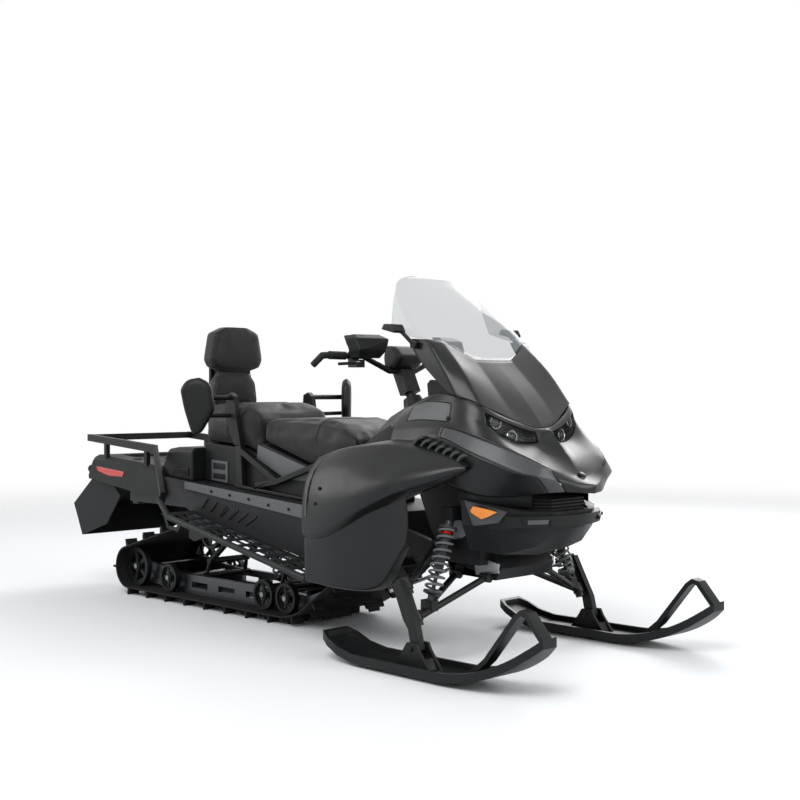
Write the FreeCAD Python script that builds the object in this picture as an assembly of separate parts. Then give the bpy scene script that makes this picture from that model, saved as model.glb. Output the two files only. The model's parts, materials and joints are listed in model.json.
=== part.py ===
import FreeCAD, Part
import math
import os

V = FreeCAD.Vector

# Utility touring snowmobile, in millimetres.
# +X points to the nose, +Y to the rider's left, +Z up.
# The origin is on the ground, in the middle of the length and the width.

# Overall sizes
SKI_STANCE = 980.0
SKI_TIP_X = 1600.0
TAIL_X = -1600.0

# Track loop: a belt over four wheels, lugs outside
TRACK_WIDTH = 508.0
BELT = 7.0
LUG_HEIGHT = 32.0
LUG_LENGTH = 16.0
LUG_PITCH = 73.0
BEND_WHEEL_R = 260.0
BEND_WHEEL_X = -20.0

# Wheels that carry the track: x, z (None stands on the belt), radius
IDLER_R = 93.0
BOGIE_R = 64.0
REAR_IDLER_X = -1146.0
SPROCKET_X = 370.0
SPROCKET_Z = 365.0
RETURN_WHEEL_X = -560.0
RETURN_WHEEL_Z = 330.0
RETURN_WHEEL_R = 66.0
BOGIE_XS = (-885.0, -187.0, -37.0)
WHEEL_WIDTH = 26.0
WHEEL_INSET = 64.0
WHEEL_Y = TRACK_WIDTH / 2 - WHEEL_INSET
AXLE_R = 11.0
WHEEL_GAP = 0.3

# Slide rails inside the track
RAIL_Y = 135.0
RAIL_WIDTH = 22.0
RAIL_HEIGHT = 52.0
RAIL_REAR_X = -1010.0
RAIL_FRONT_X = 40.0

# Tunnel: folded sheet channel over the track
TRACK_ROOM = 38.0
TUNNEL_HALF = TRACK_WIDTH / 2 + TRACK_ROOM
SHEET = 5.0
TUNNEL_REAR_X = -1060.0
TUNNEL_FRONT_X = 520.0
TUNNEL_TOP_AT_0 = 528.0
TUNNEL_SLOPE = 0.068
BOARD_AT_0 = 335.0
BOARD_SLOPE = 0.191

# Running boards
BOARD_REAR_X = -560.0
BOARD_FRONT_X = 400.0
BOARD_WIDTH = 170.0
BOARD_EDGE = TUNNEL_HALF + BOARD_WIDTH
BOARD_SHEET = 4.0
BOARD_RAIL_R = 13.0

# Steering: column and kingpins lean back by the same angle
STEER_TILT = 25.0
COLUMN_TOP = (463.0, 0.0, 1037.0)
COLUMN_R = 20.0
COLUMN_FOOT_Z = 316.0
COLUMN_GAP = 6.0
KINGPIN_X = 985.0
KINGPIN_Y = 455.0
KINGPIN_Z = 180.0
KINGPIN_R = 10.0
EYE_R = 21.0
EYE_HEIGHT = 22.0
UPPER_EYE_RISE = 116.0
STEER_ARM = 60.0
STEER_ARM_OUT = 15.0
PIN_GAP = 0.06
LUG_GAP = 1.5
LUG_HEIGHT_LOW = 14.0
LUG_HEIGHT_TOP = 18.0
ROD_STUD_R = 6.0
ROD_DROP = 14.0

# Skis
SKI_HALF = 96.0
SKI_BOLT_X = 1022.0
SKI_BOLT_Z = 88.0
SKI_BOLT_R = 8.0
SKI_PLATE = 11.0
KEEL = 12.0
KEEL_HALF = 14.0
EAR_INNER = 21.5
EAR_SHEET = 11.5
LEG_HALF = 13.0
LOOP_SHEET = 17.0
LOOP_HALF = 24.0

# Seat: hard base and soft pads
SEAT_HALF = 200.0
PAD_OVERHANG = 8.0
PAD_HALF = SEAT_HALF + PAD_OVERHANG
SEAT_REAR_X = -600.0
PAD_REAR_X = -704.0
PLATE_SHEET = 18.0
PLATE_TOP_Z = 1200.0
FIT = 0.3
DEFLECTOR_AT = (-345.0, 424.0, 908.0)
DEFLECTOR_HALF = 22.0

# Tail and tow point
SKIRT = 20.0
TAIL_HALF = TUNNEL_HALF + SKIRT
TAIL_BEVEL = 22.0
TAIL_REAR_X = -1398.0
LENS_PROUD = 4.0
FLAP_SHEET = 6.0
FLAP_INSET = 22.0
FLAP_ROOT_Z = 570.0
BOX_INSET = 24.0
BOX_HALF = TUNNEL_HALF - BOX_INSET
BOX_REAR_X = -835.0
BOX_FRONT_X = -602.0
BOX_TOP_Z = 716.0
BOX_BEVEL = 16.0
RACK_INSET = 19.0
RACK_RAIL_HALF = 13.0
HITCH_Z = 430.0
HITCH_PLATE = 14.0
HITCH_X = -1330.0
HITCH_BORE_R = 8.0
DECK_X = -1095.0
ANCHOR_DX = 150.0
ANCHOR_DY = 130.0
ANCHOR_R = 4.5
STRIP_SHEET = 9.0
HANGER = 6.0

# Front frame
NOSE_HALF = 150.0
BEAM_OUT = 200.0
BEAM_SHEET = 25.0
ARM_PIVOT_X = (930.0, 862.0)
ARM_PIVOT_Y = 232.0
ARM_PIVOT_Z = 415.0
ARM_BOSS_R = 13.0
ARM_TUBE_R = 8.0
LOWER_PIVOT_X = (1050.0, 905.0)
LOWER_PIVOT_Y = 170.0
LOWER_PIVOT_Z = 300.0
LOWER_BOSS_R = 17.0
LOWER_TUBE_R = 12.0
SHOCK_TOP = (985.0, 284.0, 520.0)
SHOCK_FOOT = (985.0, 392.0, 226.0)
SHOCK_NECK = 11.0

# Side panels: widest line of the bulge, and a moulded groove along each edge of its crease
PANEL_ROOM = 62.0
PANEL_HALF = BOARD_EDGE + PANEL_ROOM
GROOVE_WIDTH = 7.0
GROOVE_DEPTH = 4.0

# Lamps: each lens sits back from the shell, with round bowls behind it
LENS_DEPTH = 10.0
LAMP_R = 20.0

# Cooling fins between the nose and the side panel
FIN_COUNT = 7
FIN_SHEET = 9.0
FIN_REAR_X = 862.0
FIN_PITCH = 35.0

# Intake under the nose: slats on top of the lower pan
PAN_TOP_Z = 548.0
GRILLE_TOP_Z = 590.0
GRILLE_SLATS = 3
SLAT_PITCH = 12.0
SLAT_GAP = 5.0

# Bumper bar: a ring segment across the nose
BUMPER_R = 346.0
BUMPER_DEPTH = 26.0
BUMPER_HEIGHT = 38.0
BUMPER_Z = 498.0
BUMPER_FRONT_X = 1345.0

# Moulded sheets of the bodywork
COWL_SHEET = 9.0
SCREEN_SHEET = 4.0
GUARD_SHEET = 6.0


def tunnel_top(x):
    """Height of the tunnel's top face at x."""
    return TUNNEL_TOP_AT_0 - TUNNEL_SLOPE * x


def board_top(x):
    """Height of the foot board's line at x."""
    return BOARD_AT_0 - BOARD_SLOPE * x


# Shape helpers

def box(x0, x1, y0, y1, z0, z1):
    return Part.makeBox(x1 - x0, y1 - y0, z1 - z0, V(x0, y0, z0))


def side_prism(outline, y0, y1):
    """Extrude an outline of (x, z) points from y0 to y1."""
    wire = Part.makePolygon([V(x, y0, z) for x, z in outline] + [V(outline[0][0], y0, outline[0][1])])
    return Part.Face(wire).extrude(V(0, y1 - y0, 0))


def plan_prism(outline, z0, z1):
    """Extrude an outline of (x, y) points from z0 to z1."""
    wire = Part.makePolygon([V(x, y, z0) for x, y in outline] + [V(outline[0][0], outline[0][1], z0)])
    return Part.Face(wire).extrude(V(0, 0, z1 - z0))


def cross_rod(x, z, y0, y1, radius):
    return Part.makeCylinder(radius, y1 - y0, V(x, y0, z), V(0, 1, 0))


def rod(start, end, radius):
    a = V(*start)
    b = V(*end)
    return Part.makeCylinder(radius, (b - a).Length, a, b - a)


def chain(points, radius):
    """A tube through points, with a ball at each inner corner."""
    solids = [rod(a, b, radius) for a, b in zip(points, points[1:])]
    solids += [Part.makeSphere(radius, V(*p)) for p in points[1:-1]]
    return solids[0].multiFuse(solids[1:])


def fuse(shapes):
    if len(shapes) == 1:
        return shapes[0]
    return shapes[0].multiFuse(shapes[1:]).removeSplitter()


def mirrored(shape):
    """The same piece on the other side of the centre plane."""
    return shape.mirror(V(0, 0, 0), V(0, 1, 0))


def both_sides(shape):
    return Part.Compound([shape, mirrored(shape)])


def thick_line(points, thickness):
    """Outline of a strip with its middle on a line of (x, z) points."""
    left = []
    right = []
    last = len(points) - 1
    for i, (x, z) in enumerate(points):
        ax, az = points[max(i - 1, 0)]
        bx, bz = points[min(i + 1, last)]
        if 0 < i < last:
            d0 = V(x - ax, 0, z - az).normalize()
            d1 = V(bx - x, 0, bz - z).normalize()
            d = (d0 + d1).normalize()
            half = thickness / 2 / max(d.dot(d0), 0.5)
        else:
            d = V(bx - ax, 0, bz - az).normalize()
            half = thickness / 2
        left.append((x - d.z * half, z + d.x * half))
        right.append((x + d.z * half, z - d.x * half))
    return left + right[::-1]


def ring_loft(sections):
    """Solid through closed sections, each (x, [(y, z), ...])."""
    wires = []
    for x, points in sections:
        corners = [V(x, y, z) for y, z in points]
        wires.append(Part.makePolygon(corners + [corners[0]]))
    return Part.makeLoft(wires, True, True)


def whole_section(half):
    """Close a right-hand half section of (y, z) points over the centre plane."""
    left = [(-y, z) for y, z in reversed(half) if y > 0]
    return half + left


def grid_normal(grid, i, j):
    """Unit normal of a point grid at one point."""
    along = grid[min(i + 1, len(grid) - 1)][j] - grid[max(i - 1, 0)][j]
    across = grid[i][min(j + 1, len(grid[0]) - 1)] - grid[i][max(j - 1, 0)]
    return along.cross(across).normalize()


def skin(rows, thickness):
    """Thin solid between a grid of points and the same grid moved along its normals."""
    front = [[V(*p) for p in row] for row in rows]
    n = len(rows)
    m = len(rows[0])
    back = [[front[i][j] + grid_normal(front, i, j) * thickness for j in range(m)] for i in range(n)]
    corners = []

    def quad(a, b, c, d):
        corners.extend([(a, b, c), (a, c, d)])

    for i in range(n - 1):
        for j in range(m - 1):
            quad(front[i][j], front[i + 1][j], front[i + 1][j + 1], front[i][j + 1])
            quad(back[i][j], back[i][j + 1], back[i + 1][j + 1], back[i + 1][j])
        quad(front[i][0], back[i][0], back[i + 1][0], front[i + 1][0])
        quad(front[i][-1], front[i + 1][-1], back[i + 1][-1], back[i][-1])
    for j in range(m - 1):
        quad(front[0][j], front[0][j + 1], back[0][j + 1], back[0][j])
        quad(front[-1][j], back[-1][j], back[-1][j + 1], front[-1][j + 1])
    if sum(a.dot(b.cross(c)) for a, b, c in corners) < 0:
        corners = [(a, c, b) for a, b, c in corners]
    walls = Part.makeShell([Part.Face(Part.makePolygon([a, b, c, a])) for a, b, c in corners])
    walls.sewShape()
    return Part.makeSolid(walls)


def rounded_slab(outline, y0, y1, radius, edge):
    """Pad: (x, z) outline with round corners, softened along both faces."""
    slab = side_prism(outline, y0, y1)
    corners = [e for e in slab.Edges if abs(abs(e.tangentAt(e.FirstParameter).y) - 1) < 1e-6]
    slab = slab.makeFillet(radius, corners)
    rims = [e for e in slab.Edges if abs(e.BoundBox.YLength) < 1e-6]
    return slab.makeFillet(edge, rims)


# Track loop

def pulley_line(c0, r0, c1, r1):
    """Outer tangent from pulley 0 to pulley 1, both turned clockwise seen from the right."""
    dx = c1[0] - c0[0]
    dz = c1[1] - c0[1]
    dist = math.hypot(dx, dz)
    base = math.atan2(dz, dx)
    lean = base - math.acos((r0 - r1) / dist)
    n = (math.cos(lean), math.sin(lean))
    return (c0[0] + r0 * n[0], c0[1] + r0 * n[1]), (c1[0] + r1 * n[0], c1[1] + r1 * n[1])


def track_pulleys(extra):
    """Wheels of the loop, bottom run first, each ((x, z), radius)."""
    floor = LUG_HEIGHT + BELT
    return [((REAR_IDLER_X, floor + IDLER_R), IDLER_R + extra),
            ((BEND_WHEEL_X, floor + BEND_WHEEL_R), BEND_WHEEL_R + extra),
            ((SPROCKET_X, SPROCKET_Z), IDLER_R + extra),
            ((RETURN_WHEEL_X, RETURN_WHEEL_Z), RETURN_WHEEL_R + extra)]


def track_outline(extra):
    """Closed list of lines and arcs round the wheels, extra outside the belt's inner face."""
    wheels = track_pulleys(extra)
    count = len(wheels)
    lines = [pulley_line(*wheels[i], *wheels[(i + 1) % count]) for i in range(count)]
    edges = []
    for i in range(count):
        a, b = lines[i]
        edges.append(Part.LineSegment(V(a[0], 0, a[1]), V(b[0], 0, b[1])).toShape())
        centre, radius = wheels[(i + 1) % count]
        start = lines[i][1]
        end = lines[(i + 1) % count][0]
        middle = V((start[0] + end[0]) / 2 - centre[0], 0, (start[1] + end[1]) / 2 - centre[1])
        turn = math.atan2(end[1] - centre[1], end[0] - centre[0])
        turn -= math.atan2(start[1] - centre[1], start[0] - centre[0])
        if turn % (2 * math.pi) > math.pi:
            middle = middle * -1
        middle.normalize()
        mid = V(centre[0], 0, centre[1]) + middle * radius
        edges.append(Part.Arc(V(start[0], 0, start[1]), mid, V(end[0], 0, end[1])).toShape())
    return edges


def make_track():
    half = TRACK_WIDTH / 2
    outer = Part.Face(Part.Wire(track_outline(BELT)))
    inner = Part.Face(Part.Wire(track_outline(0)))
    belt = outer.cut(inner)
    belt.translate(V(0, -half, 0))
    belt = belt.extrude(V(0, TRACK_WIDTH, 0))
    mid_line = Part.Wire(track_outline(BELT - 1))
    length = mid_line.Length
    count = int(round(length / LUG_PITCH))
    count -= count % 2
    # lug rows alternate between one wide middle lug and two side lugs: y from, y to
    rows = (((-80.0, 80.0), (-half + 6, -half + 66), (half - 66, half - 6)),
            ((-half + 52, -100.0), (100.0, half - 52)))
    stations = mid_line.discretize(Number=count + 1)[:-1]
    centre = V(-350.0, 0, 250.0)
    lugs = []
    for i, point in enumerate(stations):
        ahead = stations[(i + 1) % count]
        behind = stations[i - 1]
        along = (ahead - behind).normalize()
        out = V(along.z, 0, -along.x)
        if out.dot(point - centre) < 0:
            out = out * -1
        root = LUG_LENGTH / 2
        tip = root - 4.0
        tall = LUG_HEIGHT + 1
        section = [point - along * root, point + along * root,
                   point + along * tip + out * tall, point - along * tip + out * tall]
        for y0, y1 in rows[i % 2]:
            corners = [V(p.x, y0, p.z) for p in section]
            lugs.append(Part.Face(Part.makePolygon(corners + [corners[0]])).extrude(V(0, y1 - y0, 0)))
    print("track length", round(length), "lug rows", count)
    return belt.multiFuse(lugs)


# Slide suspension inside the track

def spoked_wheel(x, z, radius, y_middle):
    """Wheel with a rim, a thin web and five windows."""
    half = WHEEL_WIDTH / 2
    web = 4.0
    rim = radius * 0.80
    hub = AXLE_R + 11.0
    bore = AXLE_R + PIN_GAP
    profile = [(bore, -half), (hub, -half), (hub, -web), (rim, -web), (rim, -half), (radius, -half),
               (radius, half), (rim, half), (rim, web), (hub, web), (hub, half), (bore, half)]
    points = [V(r, y, 0) for r, y in profile]
    wheel = Part.Face(Part.makePolygon(points + [points[0]])).revolve(V(0, 0, 0), V(0, 1, 0), 360)
    windows = []
    spokes = 5
    for i in range(spokes):
        turn = 2 * math.pi * i / spokes
        corners = []
        for r, spread in ((hub + 4, 0.36), (rim - 4, 0.46), (rim - 4, -0.46), (hub + 4, -0.36)):
            corners.append((r * math.cos(turn + spread), r * math.sin(turn + spread)))
        windows.append(side_prism(corners, -half, half))
    wheel = wheel.cut(Part.Compound(windows))
    wheel.translate(V(x, y_middle, z))
    return wheel


def wheel_centres():
    """All wheels on the slide frame: x, z, radius."""
    floor = LUG_HEIGHT + BELT + WHEEL_GAP
    table = [(REAR_IDLER_X, LUG_HEIGHT + BELT + IDLER_R, IDLER_R - WHEEL_GAP)]
    for x in BOGIE_XS:
        table.append((x, floor + BOGIE_R, BOGIE_R))
    table.append((RETURN_WHEEL_X, RETURN_WHEEL_Z, RETURN_WHEEL_R - WHEEL_GAP))
    return table


def make_idler_wheels():
    wheels = []
    for x, z, radius in wheel_centres():
        for side in (-1, 1):
            wheels.append(spoked_wheel(x, z, radius, side * WHEEL_Y))
    return Part.Compound(wheels)


def make_wheel_axles():
    solids = []
    for x, z, _ in wheel_centres():
        reach = TUNNEL_HALF - SHEET - HANGER - FIT if x == RETURN_WHEEL_X else WHEEL_Y + WHEEL_WIDTH / 2 + 6
        solids.append(cross_rod(x, z, -reach, reach, AXLE_R))
    return Part.Compound(solids)


def make_slide_rails():
    base = LUG_HEIGHT + BELT + 9.0
    top = base + RAIL_HEIGHT
    idler_z = LUG_HEIGHT + BELT + IDLER_R
    bogie_z = LUG_HEIGHT + BELT + WHEEL_GAP + BOGIE_R
    outline = [(REAR_IDLER_X - 30, idler_z - 26), (REAR_IDLER_X + 60, base + 8), (RAIL_REAR_X + 80, base),
               (RAIL_FRONT_X - 60, base), (RAIL_FRONT_X + 60, base + 22), (RAIL_FRONT_X + 128, base + 84),
               (RAIL_FRONT_X + 116, base + 104), (RAIL_FRONT_X + 20, top + 18), (-60.0, bogie_z + 22),
               (BOGIE_XS[0] + 60, bogie_z + 22), (REAR_IDLER_X + 50, idler_z + 26),
               (REAR_IDLER_X - 30, idler_z + 26)]
    shoe = side_prism([(RAIL_REAR_X + 60, base), (RAIL_FRONT_X - 60, base), (RAIL_FRONT_X - 66, base - 8.7),
                       (RAIL_REAR_X + 66, base - 8.7)], RAIL_Y + 1, RAIL_Y + RAIL_WIDTH - 1)
    rail = side_prism(outline, RAIL_Y, RAIL_Y + RAIL_WIDTH).fuse(shoe)
    holes = [cross_rod(x, z, RAIL_Y - 1, RAIL_Y + RAIL_WIDTH + 1, AXLE_R + PIN_GAP)
             for x, z, _ in wheel_centres() if z < idler_z + 1]
    slots = []
    for x in (-760.0, -560.0, -360.0):
        slots.append(side_prism([(x, base + 20), (x + 120, base + 20), (x + 120, base + 46), (x, base + 46)],
                                RAIL_Y - 1, RAIL_Y + RAIL_WIDTH + 1))
    rail = rail.cut(Part.Compound(holes + slots))
    return both_sides(rail)


# top x, top z, bottom x, bottom z of the front and the rear swing arm
SWING_ARMS = ((90.0, 330.0, -150.0, 215.0), (-470.0, 362.0, -690.0, 190.0))
SWING_TOP_R = 15.0
# cross tubes on the rails that take the shocks' feet: x, z
SHOCK_TUBES = ((30.0, 128.0), (-265.0, 120.0))
SHOCK_TUBE_R = 10.0


def make_suspension_arms():
    """Front and rear swing arms: cross tube on the tunnel, two legs, cross tube on the rails."""
    foot = RAIL_Y - FIT
    solids = []
    for i, (x0, z0, x1, z1) in enumerate(SWING_ARMS):
        reach = TUNNEL_HALF - SHEET - FIT - i * HANGER
        tubes = [cross_rod(x0, z0, -reach, reach, SWING_TOP_R), cross_rod(x1, z1, -114.0, 114.0, 14.0)]
        for side in (-1, 1):
            tubes.append(rod((x0, side * 100.0, z0), (x1, side * 100.0, z1), 14.0))
            tubes.append(rod((x1, side * 104.0, z1), (x1 - 20, side * 112.0, 126.0), 9.0))
        tubes.append(cross_rod(x1 - 20, 122.0, -foot, foot, 12.0))
        solids.append(tubes[0].multiFuse(tubes[1:]))
    solids += [cross_rod(x, z, -foot, foot, SHOCK_TUBE_R) for x, z in SHOCK_TUBES]
    return Part.Compound(solids)


def make_rear_shocks():
    shocks = []
    for (x0, z0, _, _), (x1, z1), coil_r in zip(SWING_ARMS, SHOCK_TUBES, (27.0, 30.0)):
        top = V(x0, 0, z0)
        foot = V(x1, 0, z1)
        down = (foot - top).normalize()
        top += down * (SWING_TOP_R + FIT)
        foot -= down * (SHOCK_TUBE_R + FIT)
        shocks.append(shock(tuple(top), tuple(foot), coil_r, 7))
    return Part.Compound(shocks)


def shock(top, bottom, coil_r, coils):
    """Damper with its coil spring as ridges of one turned body."""
    a = V(*bottom)
    b = V(*top)
    length = (b - a).Length
    neck = SHOCK_NECK
    spring = length - 70.0
    step = spring / coils
    profile = [(0, 0), (neck, 0), (neck, 30.0), (coil_r, 30.0), (coil_r, 38.0)]
    for i in range(coils):
        z = 38.0 + i * step
        profile += [(coil_r - 9, z + step * 0.15), (coil_r, z + step * 0.4), (coil_r, z + step * 0.6),
                    (coil_r - 9, z + step * 0.9)]
    profile += [(coil_r, length - 28.0), (coil_r, length - 20.0), (neck, length - 20.0), (neck, length),
                (0, length)]
    points = [V(r, 0, z) for r, z in profile]
    body = Part.Face(Part.makePolygon(points + [points[0]])).revolve(V(0, 0, 0), V(0, 0, 1), 360)
    body.Placement = FreeCAD.Placement(a, FreeCAD.Rotation(V(0, 0, 1), b - a))
    return body


def make_drive_axle():
    """Axle across the tunnel with two toothed sprockets."""
    reach = TUNNEL_HALF - SHEET - FIT
    axle = cross_rod(SPROCKET_X, SPROCKET_Z, -reach, reach, 19.0)
    teeth = 10
    tip = IDLER_R - WHEEL_GAP
    outline = []
    for i in range(teeth):
        for share, r in ((0.0, tip), (0.34, tip), (0.5, tip - 14), (0.84, tip - 14)):
            turn = 2 * math.pi * (i + share) / teeth
            outline.append((SPROCKET_X + r * math.cos(turn), SPROCKET_Z + r * math.sin(turn)))
    discs = [side_prism(outline, y - 11, y + 11) for y in (-110.0, 110.0)]
    return fuse([axle] + discs)


# Tunnel and boards

def tunnel_side_outline():
    return [(TUNNEL_FRONT_X, tunnel_top(TUNNEL_FRONT_X)), (TUNNEL_FRONT_X, board_top(TUNNEL_FRONT_X) + 6),
            (BOARD_REAR_X, board_top(BOARD_REAR_X) - 8), (BOARD_REAR_X - 60, 452.0), (TUNNEL_REAR_X, 455.0),
            (TUNNEL_REAR_X, tunnel_top(TUNNEL_REAR_X))]


def make_tunnel():
    outer = side_prism(tunnel_side_outline(), -TUNNEL_HALF, TUNNEL_HALF)
    under = [(TUNNEL_FRONT_X - SHEET, tunnel_top(TUNNEL_FRONT_X) - SHEET), (TUNNEL_FRONT_X - SHEET, 100.0),
             (TUNNEL_REAR_X - 10, 100.0), (TUNNEL_REAR_X - 10, tunnel_top(TUNNEL_REAR_X - 10) - SHEET)]
    inside = side_prism(under, -TUNNEL_HALF + SHEET, TUNNEL_HALF - SHEET)
    front_gap = box(TUNNEL_FRONT_X - SHEET - 1, TUNNEL_FRONT_X + 1, -TUNNEL_HALF + SHEET, TUNNEL_HALF - SHEET,
                    100.0, 330.0)
    tunnel = outer.cut(inside).cut(front_gap)
    # slanted pressed ribs on the outer faces, behind the seat braces
    ribs = []
    for x in (-505.0, -440.0, -375.0, -310.0):
        z = board_top(x) + 26
        outline = [(x, z), (x + 14, z), (x + 58, z + 42), (x + 44, z + 42)]
        ribs.append(side_prism(outline, TUNNEL_HALF, TUNNEL_HALF + 5))
    hanger = side_prism([(-600.0, 470.0), (-600.0, 318.0), (-560.0, 306.0), (-440.0, 340.0), (-440.0, 470.0)],
                        TUNNEL_HALF - SHEET - HANGER, TUNNEL_HALF - SHEET)
    ribs.append(hanger)
    ribs += [mirrored(r) for r in ribs]
    return tunnel.multiFuse(ribs)


def make_tunnel_strips():
    x0 = -615.0
    x1 = TUNNEL_FRONT_X - 40
    outline = [(x0, tunnel_top(x0) - 2), (x1, tunnel_top(x1) - 2), (x1, tunnel_top(x1) - 62),
               (x0, tunnel_top(x0) - 34)]
    strip = side_prism(outline, TUNNEL_HALF, TUNNEL_HALF + STRIP_SHEET)
    return both_sides(strip)


def make_running_board():
    """One foot board, on the left: perforated sheet, rolled outer rail, toe loop and hangers."""
    x0 = BOARD_REAR_X
    x1 = BOARD_FRONT_X
    z0 = board_top(x0)
    z1 = board_top(x1)
    sheet = side_prism([(x0, z0), (x1, z1), (x1, z1 - BOARD_SHEET), (x0, z0 - BOARD_SHEET)],
                       TUNNEL_HALF, BOARD_EDGE)
    flange = side_prism([(x0, z0), (x1, z1), (x1, z1 - 22), (x0, z0 - 22)],
                        TUNNEL_HALF, TUNNEL_HALF + BOARD_SHEET)
    slots = []
    columns = 11
    step = (x1 - x0 - 80.0) / columns
    for i in range(columns):
        x = x0 + 45.0 + i * step
        z = board_top(x)
        for y in (TUNNEL_HALF + 30, TUNNEL_HALF + 72, TUNNEL_HALF + 114):
            slots.append(box(x, x + step - 26, y, y + 26, z - 40, z + 40))
    sheet = sheet.cut(Part.Compound(slots))
    drop = BOARD_SHEET / 2
    rail = chain([(x1, BOARD_EDGE, z1 - drop), (x0 + 60, BOARD_EDGE, board_top(x0 + 60) - drop),
                  (x0 - 45, BOARD_EDGE - 20, z0 + 56), (x0 - 75, BOARD_EDGE - 60, z0 + 66)], BOARD_RAIL_R)
    hanger = side_prism([(x0 + 8, z0 - 1), (x0 + 150, board_top(x0 + 150) - 1), (x0 + 120, z0 - 72),
                         (x0 + 40, z0 - 62)], BOARD_EDGE - 12, BOARD_EDGE - 4)
    window = side_prism([(x0 + 34, z0 - 18), (x0 + 122, board_top(x0 + 122) - 12), (x0 + 106, z0 - 56),
                         (x0 + 50, z0 - 50)], BOARD_EDGE - 14, BOARD_EDGE - 2)
    return fuse([sheet, flange, rail, hanger.cut(window)])


# Tail

def anchor_holes():
    """Four upright holes through the deck and the tunnel's top for a cargo box's screws."""
    corners = [(DECK_X + sx * ANCHOR_DX, sy * ANCHOR_DY) for sx in (-1, 1) for sy in (-1, 1)]
    return Part.Compound([Part.makeCylinder(ANCHOR_R, 200.0, V(x, y, 540.0)) for x, y in corners])


def make_tail_section():
    """Moulded deck over the tunnel's rear, with side skirts, an oval hand hole and a recess."""
    outline = [(TAIL_REAR_X + 6, 545.0), (TAIL_REAR_X, 600.0), (TAIL_REAR_X + 26, 648.0),
               (TAIL_REAR_X + 68, 662.0), (-840.0, 628.0), (-800.0, 600.0), (-762.0, 500.0), (-800.0, 478.0)]
    body = side_prism(outline, -TAIL_HALF, TAIL_HALF)
    long_top = [e for e in body.Edges if e.BoundBox.YLength < 1e-6 and e.BoundBox.ZMin > 590.0]
    body = body.makeChamfer(TAIL_BEVEL, long_top)
    tunnel_room = side_prism([(-1500.0, 300.0), (-700.0, 300.0), (-700.0, tunnel_top(-700.0) + FIT),
                              (TUNNEL_REAR_X - FIT, tunnel_top(TUNNEL_REAR_X) + FIT), (-1300.0, FLAP_ROOT_Z),
                              (-1500.0, FLAP_ROOT_Z)], -TUNNEL_HALF - FIT, TUNNEL_HALF + FIT)
    box_room = box(BOX_REAR_X - FIT, BOX_FRONT_X, -BOX_HALF - FIT, BOX_HALF + FIT, 500.0, 800.0)
    recess = side_prism([(-1290.0, 647.0), (-900.0, 622.0), (-892.0, 700.0), (-1294.0, 700.0)], -190.0, 190.0)
    slot = fuse([box(-1165.0, -1035.0, -26.0, 26.0, 500.0, 700.0),
                 Part.makeCylinder(26.0, 200.0, V(-1165.0, 0, 500.0)),
                 Part.makeCylinder(26.0, 200.0, V(-1035.0, 0, 500.0))])
    return body.cut(tunnel_room).cut(box_room).cut(recess).cut(slot).cut(anchor_holes())


def make_tail_lights():
    """Red lenses let into both skirts and one across the rear face."""
    outline = [(-1318.0, 607.0), (-1196.0, 597.0), (-1078.0, 590.0), (-1092.0, 566.0), (-1210.0, 566.0),
               (-1306.0, 585.0)]
    side = side_prism(outline, TAIL_HALF, TAIL_HALF + LENS_PROUD)
    rear = box(TAIL_REAR_X - 12.0, TAIL_REAR_X, -150.0, 150.0, 566.0, 598.0)
    return Part.Compound([side, mirrored(side), rear])


def make_snow_flap():
    """Hanging rear flap, bent outwards at mid height, with its side walls."""
    half = TUNNEL_HALF - FLAP_INSET
    top = FLAP_ROOT_Z - FIT
    line = [(TAIL_REAR_X + 12, top), (TAIL_X + FLAP_SHEET / 2, 409.0), (-1520.0, 259.0)]
    back = side_prism(thick_line(line, FLAP_SHEET), -half, half)
    wall = side_prism(line + [(-1300.0, 330.0), (-1180.0, 470.0), (-1300.0, top)], half - FLAP_SHEET, half)
    flap = fuse([back, wall, mirrored(wall)])
    return flap.common(box(TAIL_X, -1000.0, -half, half, 200.0, top))


def make_rear_rack():
    """U-shaped flat rail round the deck, with legs splayed down to the board rails."""
    wide = RACK_RAIL_HALF
    rail_y = TAIL_HALF - RACK_INSET
    foot_y = BOARD_EDGE - 28.0
    rear_x = -1414.0
    bend_x = -852.0
    bend_z = 704.0
    # stations of the side rail: x, middle y, middle z, half height
    stations = ((rear_x, rail_y, 742.0, 16.0), (bend_x, rail_y, bend_z, 18.0), (-586.0, foot_y, 506.0, 22.0))
    pieces = []
    for a, b in zip(stations, stations[1:]):
        sections = []
        for x, y, z, h in (a, b):
            sections.append((x, [(y - wide, z - h), (y + wide, z - h), (y + wide, z + h), (y - wide, z + h)]))
        pieces.append(ring_loft(sections))
    for x in (-1270.0, -930.0):
        post_top = bend_z - TUNNEL_SLOPE * (x - bend_x)
        pieces.append(box(x, x + 22.0, rail_y - 10.0, rail_y + 10.0, 600.0, post_top))
    rear = box(rear_x, rear_x + 30.0, -rail_y - 7.0, rail_y + 7.0, 726.0, 757.0)
    return fuse([rear] + pieces + [mirrored(p) for p in pieces])


def make_hitch():
    """Tongue under the tunnel's rear end with a vertical pin bore."""
    half = 40.0
    front_x = -1000.0
    reach = TUNNEL_HALF - SHEET - FIT
    over = HITCH_Z + HITCH_PLATE
    tongue = box(HITCH_X, front_x, -half, half, HITCH_Z, over)
    nose = Part.makeCylinder(half, HITCH_PLATE, V(HITCH_X, 0, HITCH_Z))
    bore = Part.makeCylinder(HITCH_BORE_R, half, V(HITCH_X, 0, HITCH_Z - 10))
    cross = box(front_x - 50.0, front_x, -reach, reach, over, over + 40.0)
    return fuse([tongue, nose, cross]).cut(bore)


# Seat

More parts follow.
